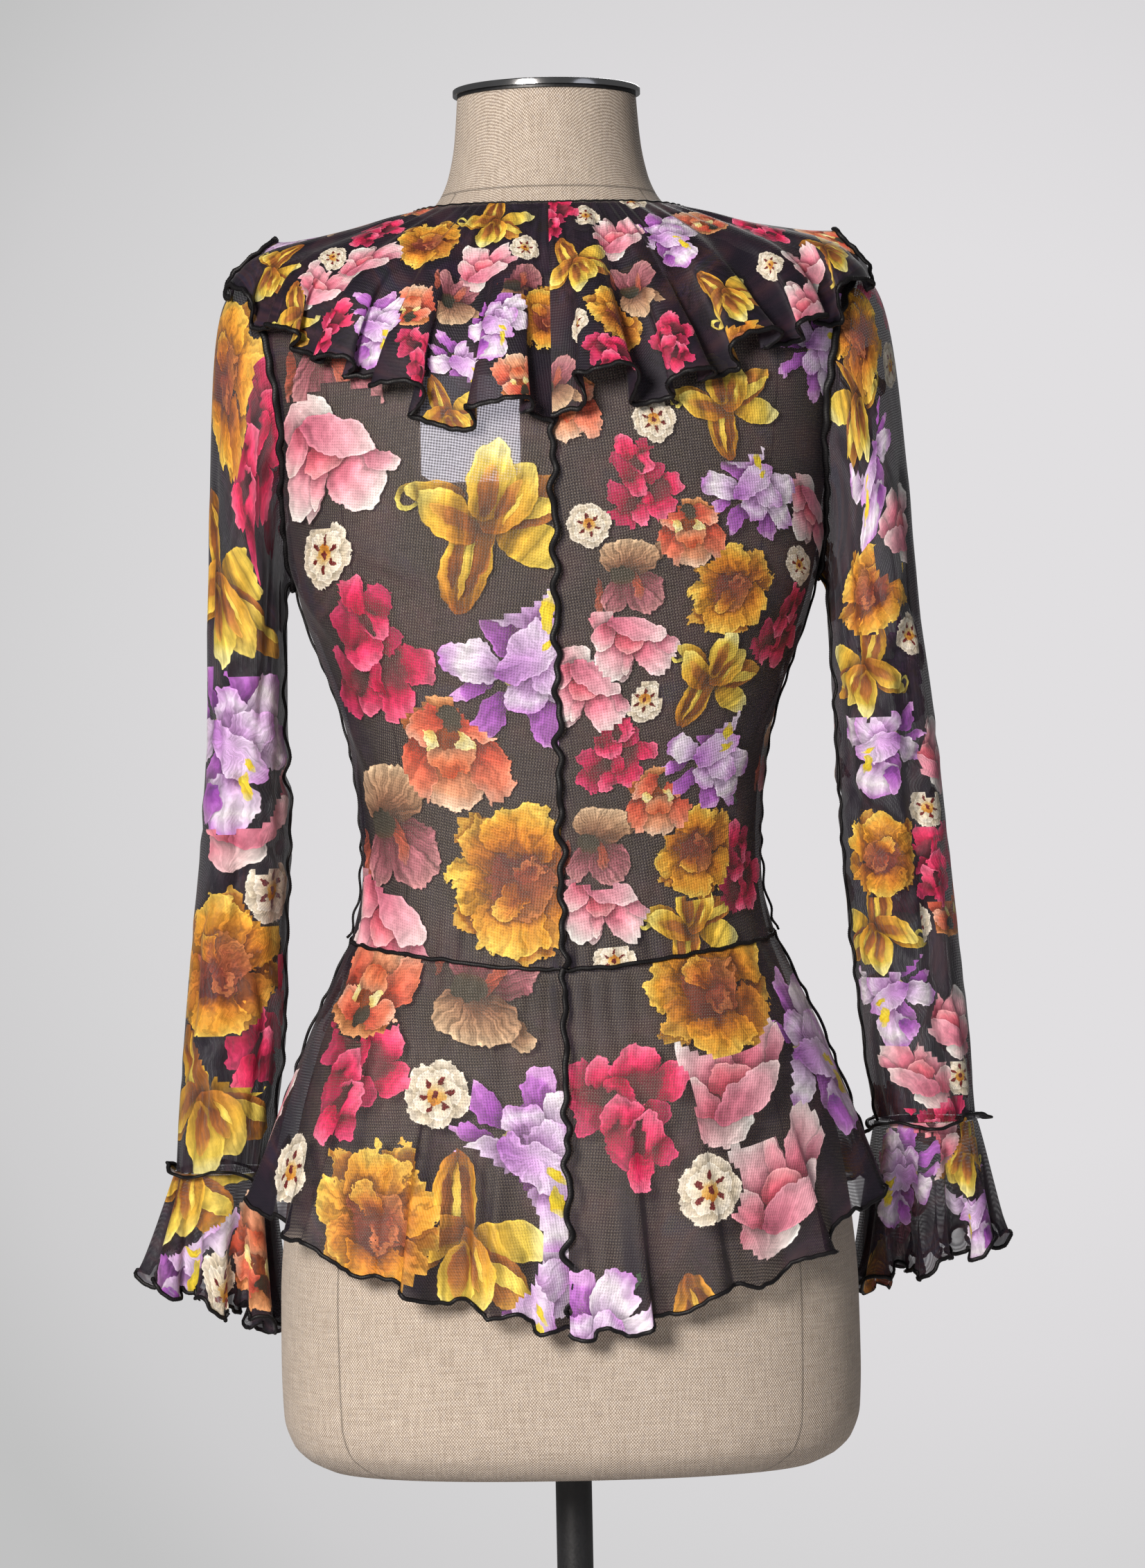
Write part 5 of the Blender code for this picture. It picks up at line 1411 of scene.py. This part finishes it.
def turned_piece(name, profile, finish, slot, replaced=None):
    """A piece turned about the pole's axis from (radius, height) pairs in metres, with rounded edges."""
    shape = bmesh.new()
    line = [shape.verts.new((radius, 0, height)) for radius, height in profile]
    edges = [shape.edges.new(pair) for pair in zip(line, line[1:])]
    bmesh.ops.spin(shape, geom=line + edges, axis=(0, 0, 1), cent=(0, 0, 0), angle=2 * math.pi, steps=TURNED_STEPS)
    bmesh.ops.remove_doubles(shape, verts=shape.verts, dist=1e-6)
    bmesh.ops.recalc_face_normals(shape, faces=shape.faces)
    mesh = bpy.data.meshes.new(name)
    shape.to_mesh(mesh)
    shape.free()
    mesh.shade_smooth()
    mesh.set_sharp_from_angle(angle=SHARP_EDGE)
    piece = bpy.data.objects.new(name, mesh)
    bpy.context.scene.collection.objects.link(piece)
    dress(piece, slot, finish)
    if replaced:
        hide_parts(replaced)


def rounded(radius, height, edge):
    """Points round the upper edge of a turned profile, from its wall to its flat top."""
    turns = np.linspace(0, math.pi / 2, 5)
    return [(radius - edge + edge * math.cos(turn), height - edge + edge * math.sin(turn)) for turn in turns]


# The plate lies a little lower than its solid, over a black disc that paints the shade beneath its rim. The base is a
# disc with a boss that rises from it in a hollow curve.
PLATE_SUNK, PLATE_TOP_SUNK, PLATE_EDGE = 0.8 * MM, 2.8 * MM, 0.7 * MM
SHADE_DISC_INSET, SHADE_DISC_DROP = 2.6 * MM, 2.5 * MM
DISC_THICKNESS, DISC_EDGE = 12 * MM, 4 * MM
BOSS_RADIUS, BOSS_EDGE, BOSS_FOOT = 21 * MM, 1.5 * MM, 5 * MM


def stand():
    """The neck's plate, the pole, and the base with its boss, a little rounder than the solids."""
    coat = powder_coat()
    low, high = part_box("neck_cap")
    under, top = low[2] - PLATE_SUNK, high[2] - PLATE_TOP_SUNK
    plate = [(0, under), (high[0], under), *rounded(high[0], top, PLATE_EDGE), (0, top)]
    turned_piece("neck_plate", plate, polished_steel(), "polished_steel", "neck_cap")
    # a black disc under the plate: painted shade beneath its rim, where no part stands
    shade_disc, foot = high[0] - SHADE_DISC_INSET, low[2] - SHADE_DISC_DROP
    turned_piece("neck_plate_shade_disc", [(0, foot), (shade_disc, foot), (shade_disc, under), (0, under)], coat, "black_coated_steel")
    low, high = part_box("pole")
    pole = [(0, low[2]), (high[0], low[2]), (high[0], high[2]), (0, high[2])]
    turned_piece("stand_pole", pole, coat, "black_coated_steel", "pole")
    low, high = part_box("base")
    top = low[2] + DISC_THICKNESS
    base = [
        (0, low[2]), (high[0], low[2]), *rounded(high[0], top, DISC_EDGE), (BOSS_RADIUS + BOSS_FOOT, top),
        (BOSS_RADIUS + BOSS_EDGE, top + BOSS_EDGE), (BOSS_RADIUS, top + BOSS_FOOT),
        *rounded(BOSS_RADIUS, high[2], BOSS_EDGE), (0, high[2]),
    ]
    turned_piece("stand_base", base, coat, "black_coated_steel", "base")


# ------------------------------------------------------------------ building

form = dress_form()
stand()
dress(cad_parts["label"], "white_label", label_satin())
seeds = itertools.count(3)


def panel(name, points, scale, held, edges, closed=False, parted=-1):
    """A cut piece of the blouse, in place of its solid."""
    piece = cloth_piece(f"{name}_cloth", name, points, scale, next(seeds), closed, parted)
    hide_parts(name)
    across, down = spans(points)


def back(side, word):
    """Half the back, with its side seam. The left half carries the centre back seam, down from under the collar."""
    points = back_grid(side)
    below_arm = points[points[:, -1, 2] < UNDERARM]
    below_collar = points[points[:, 0, 2] < COLLAR_HEM_AT_CENTRE]
    edges = [
        sewn_edge(f"side_seam_{word}", *rim(below_arm, column=-1), SIDE_SEAM, sway=1.1, every=19, slack=(2.4, 0.5)),
    ]
    if side == LEFT:
        edges.append(sewn_edge("centre_back_seam", *rim(below_collar, column=0), CENTRE_SEAM, sway=2.9, every=29))
    panel(f"back_{word}", points, SIDE_PRINT[side], "stretched", edges)


def peplum_back(side, word):
    """Half the peplum's back, with its hem and seams. The left half carries the seam between the two."""
    name = f"peplum_back_{word}"
    points = peplum_grid(side, 0, 90)
    edges = [
        sewn_edge(f"hem_{name}", *rim(points, row=-1), HEM, sway=0.6, every=14),
        sewn_edge(f"waist_seam_back_{word}", *rim(points, row=0), SEAM, sway=0.8, every=23),
        sewn_edge(f"peplum_side_seam_{word}", *rim(points, column=-1), SEAM, sway=1.6, every=21, slack=(0.8, 2.6)),
    ]
    if side == LEFT:
        centre = rim(points, column=0)
        edges.append(sewn_edge("peplum_centre_seam", *centre, CENTRE_SEAM, sway=2.8, every=27, slack=(0.5, 2.4)))
    panel(name, points, PEPLUM_PRINT, "hung", edges)


def collar(side, word):
    """Half the collar, with its serged hem and the fold at its neck edge."""
    name = f"collar_{word}"
    points = collar_grid(side)
    edges = [
        sewn_edge(f"hem_{name}", *rim(points, row=-1), COLLAR_HEM, sway=0.8, every=13),
        sewn_edge(f"neck_edge_{word}", *rim(points, row=0), NECK_FOLD, sway=0, every=30),
    ]
    panel(name, points, COLLAR_PRINT, "gathered", edges)


def sleeve(side, word):
    """A sleeve, with its armhole seam and the seam down its inner side."""
    points = sleeve_grid(side)
    armhole = rim(points, row=0, closed=True)
    edges = [
        sewn_edge(f"armhole_seam_{word}", *armhole, ARMHOLE_SEAM, sway=1.4, every=24, looped=True),
        sewn_edge(f"sleeve_seam_{word}", *rim(points, column=0, closed=True), SEAM, sway=1.8, every=28),
    ]
    panel(f"sleeve_{word}", points, SIDE_PRINT[side], "hung", edges, closed=True)


def cuff(side, word):
    """A cuff's frill, with its hem and the wrist seam, out of which a narrow ruffle stands."""
    name = f"cuff_{word}"
    points, ruffle = frill_grid(side), wrist_grid(side)
    edges = [
        sewn_edge(f"hem_{name}", *rim(points, row=-1, closed=True), HEM, sway=0.6, every=13, looped=True),
        sewn_edge(f"wrist_seam_{word}", *rim(ruffle, row=-1, closed=True), SEAM, sway=0.6, every=18, looped=True),
        cloth_piece(f"wrist_ruffle_{word}", name, ruffle, SIDE_PRINT[side], next(seeds), closed=True),
    ]
    panel(name, points, SIDE_PRINT[side], "gathered", edges, closed=True)


def front():
    """The front, in one piece, with its V neckline."""
    points = front_grid()
    panel("front", points, LARGE_PRINT, "stretched", [], parted=points.shape[1] // 2 - 1)


def peplum_front():
    """The peplum's front, in one piece, with its hem and waist seam."""
    left, right = (peplum_grid(side, 90, 180) for side in (LEFT, RIGHT))
    points = np.concatenate([left, right[:, -2::-1]], axis=1)
    edges = [
        sewn_edge("hem_peplum_front", *rim(points, row=-1), HEM, sway=0.6, every=14),
        sewn_edge("waist_seam_front", *rim(points, row=0), SEAM, sway=1.2, every=21),
    ]
    panel("peplum_front", points, LARGE_PRINT, "hung", edges)


for side, word in WORDS.items():
    back(side, word)
    peplum_back(side, word)
    collar(side, word)
    sleeve(side, word)
    cuff(side, word)
front()
peplum_front()


# ------------------------------------------------------------------ the studio

CAMERA_AT = (0.0076, -3.1, FORM_BOTTOM + 0.410)
CAMERA_ROLL = math.radians(1.13)
LENS = 117.4  # millimetres, for a frame 36 mm high
FLOOR_RADIUS = 1.28
BACKDROP_GLOW = (0.068, 0.9976, 0.012)  # the direction of the backdrop's brightest part


def light(name, at, towards, size, watts, tint):
    """A round lamp that faces a place."""
    lamp = bpy.data.lights.new(name, "AREA")
    lamp.shape, lamp.size, lamp.energy, lamp.color = "DISK", size, watts, colour(tint)[:3]
    made = bpy.data.objects.new(name, lamp)
    made.location = at
    made.rotation_euler = (Vector(towards) - Vector(at)).to_track_quat("-Z", "Y").to_euler()
    bpy.context.scene.collection.objects.link(made)


def studio():
    """A round floor of matt paint, the backdrop and three lamps."""
    made, tree = new_material("matt_floor_paint")
    place = add(tree, "ShaderNodeTexCoord").outputs["Object"]
    mottle = add(tree, "ShaderNodeTexNoise", place, 6.0, 3.0)
    tint = add(tree, "ShaderNodeValToRGB", mottle, stops=((0.3, "D6D5D6", 1), (0.7, "DDDBDC", 1)))
    shader = add(tree, "ShaderNodeBsdfPrincipled", named={"Base Color": tint, "Roughness": 0.8})
    add(tree, "ShaderNodeOutputMaterial", shader)
    shape = bmesh.new()
    bmesh.ops.create_circle(shape, cap_ends=True, radius=FLOOR_RADIUS, segments=128)
    mesh = bpy.data.meshes.new("floor")
    shape.to_mesh(mesh)
    shape.free()
    mesh.materials.append(made)
    floor = bpy.data.objects.new("floor", mesh)
    floor.location.z = -0.0005
    bpy.context.scene.collection.objects.link(floor)
    bpy.context.scene.world = pale_studio()
    light("key", (-1.25, -2.8, 1.5), (0, 0, 0.55), size=1.0, watts=121, tint="FFF8F1")
    light("fill", (2.2, -2.0, 1.2), (0, 0, 0.7), size=1.6, watts=4, tint="F2F5FF")
    light("back", (0.6, 2.4, 2.2), (0, 0, 0.8), size=1.4, watts=26, tint="FFFFFF")


def pale_studio():
    """A plain backdrop, lit most a little to the right of the camera's aim, in a room that sends back a fifth of its
    light."""
    world = bpy.data.worlds.new("pale_studio")
    world.use_nodes = True
    tree = world.node_tree
    tree.nodes.clear()
    towards = add(tree, "ShaderNodeTexCoord").outputs["Generated"]
    away = add(tree, "ShaderNodeVectorMath", towards, BACKDROP_GLOW, operation="DISTANCE").outputs["Value"]
    tint = add(tree, "ShaderNodeValToRGB", away, stops=(
        (0.09, "E1DFE1", 1), (0.13, "DCDADC", 1), (0.165, "D5D4D5", 1), (0.195, "CECDCE", 1), (0.225, "C1C1C1", 1),
    ))
    seen = add(tree, "ShaderNodeLightPath").outputs["Is Camera Ray"]
    strength = add(tree, "ShaderNodeMapRange", seen, 0.0, 1.0, 0.19, 1.0)
    glow = add(tree, "ShaderNodeBackground", tint, strength)
    add(tree, "ShaderNodeOutputWorld", glow)
    return world


def camera():
    """A level camera with a long lens, turned a little on its axis."""
    data = bpy.data.cameras.new("camera")
    data.sensor_fit, data.sensor_height, data.lens = "VERTICAL", 36, LENS
    made = bpy.data.objects.new("camera", data)
    bpy.context.scene.collection.objects.link(made)
    level = Matrix.Translation(CAMERA_AT) @ Matrix.Rotation(CAMERA_ROLL, 4, "Y")
    made.matrix_world = level @ Matrix.Rotation(math.pi / 2, 4, "X")
    bpy.context.scene.camera = made
    bpy.context.scene.view_settings.view_transform = "Standard"


studio()
camera()
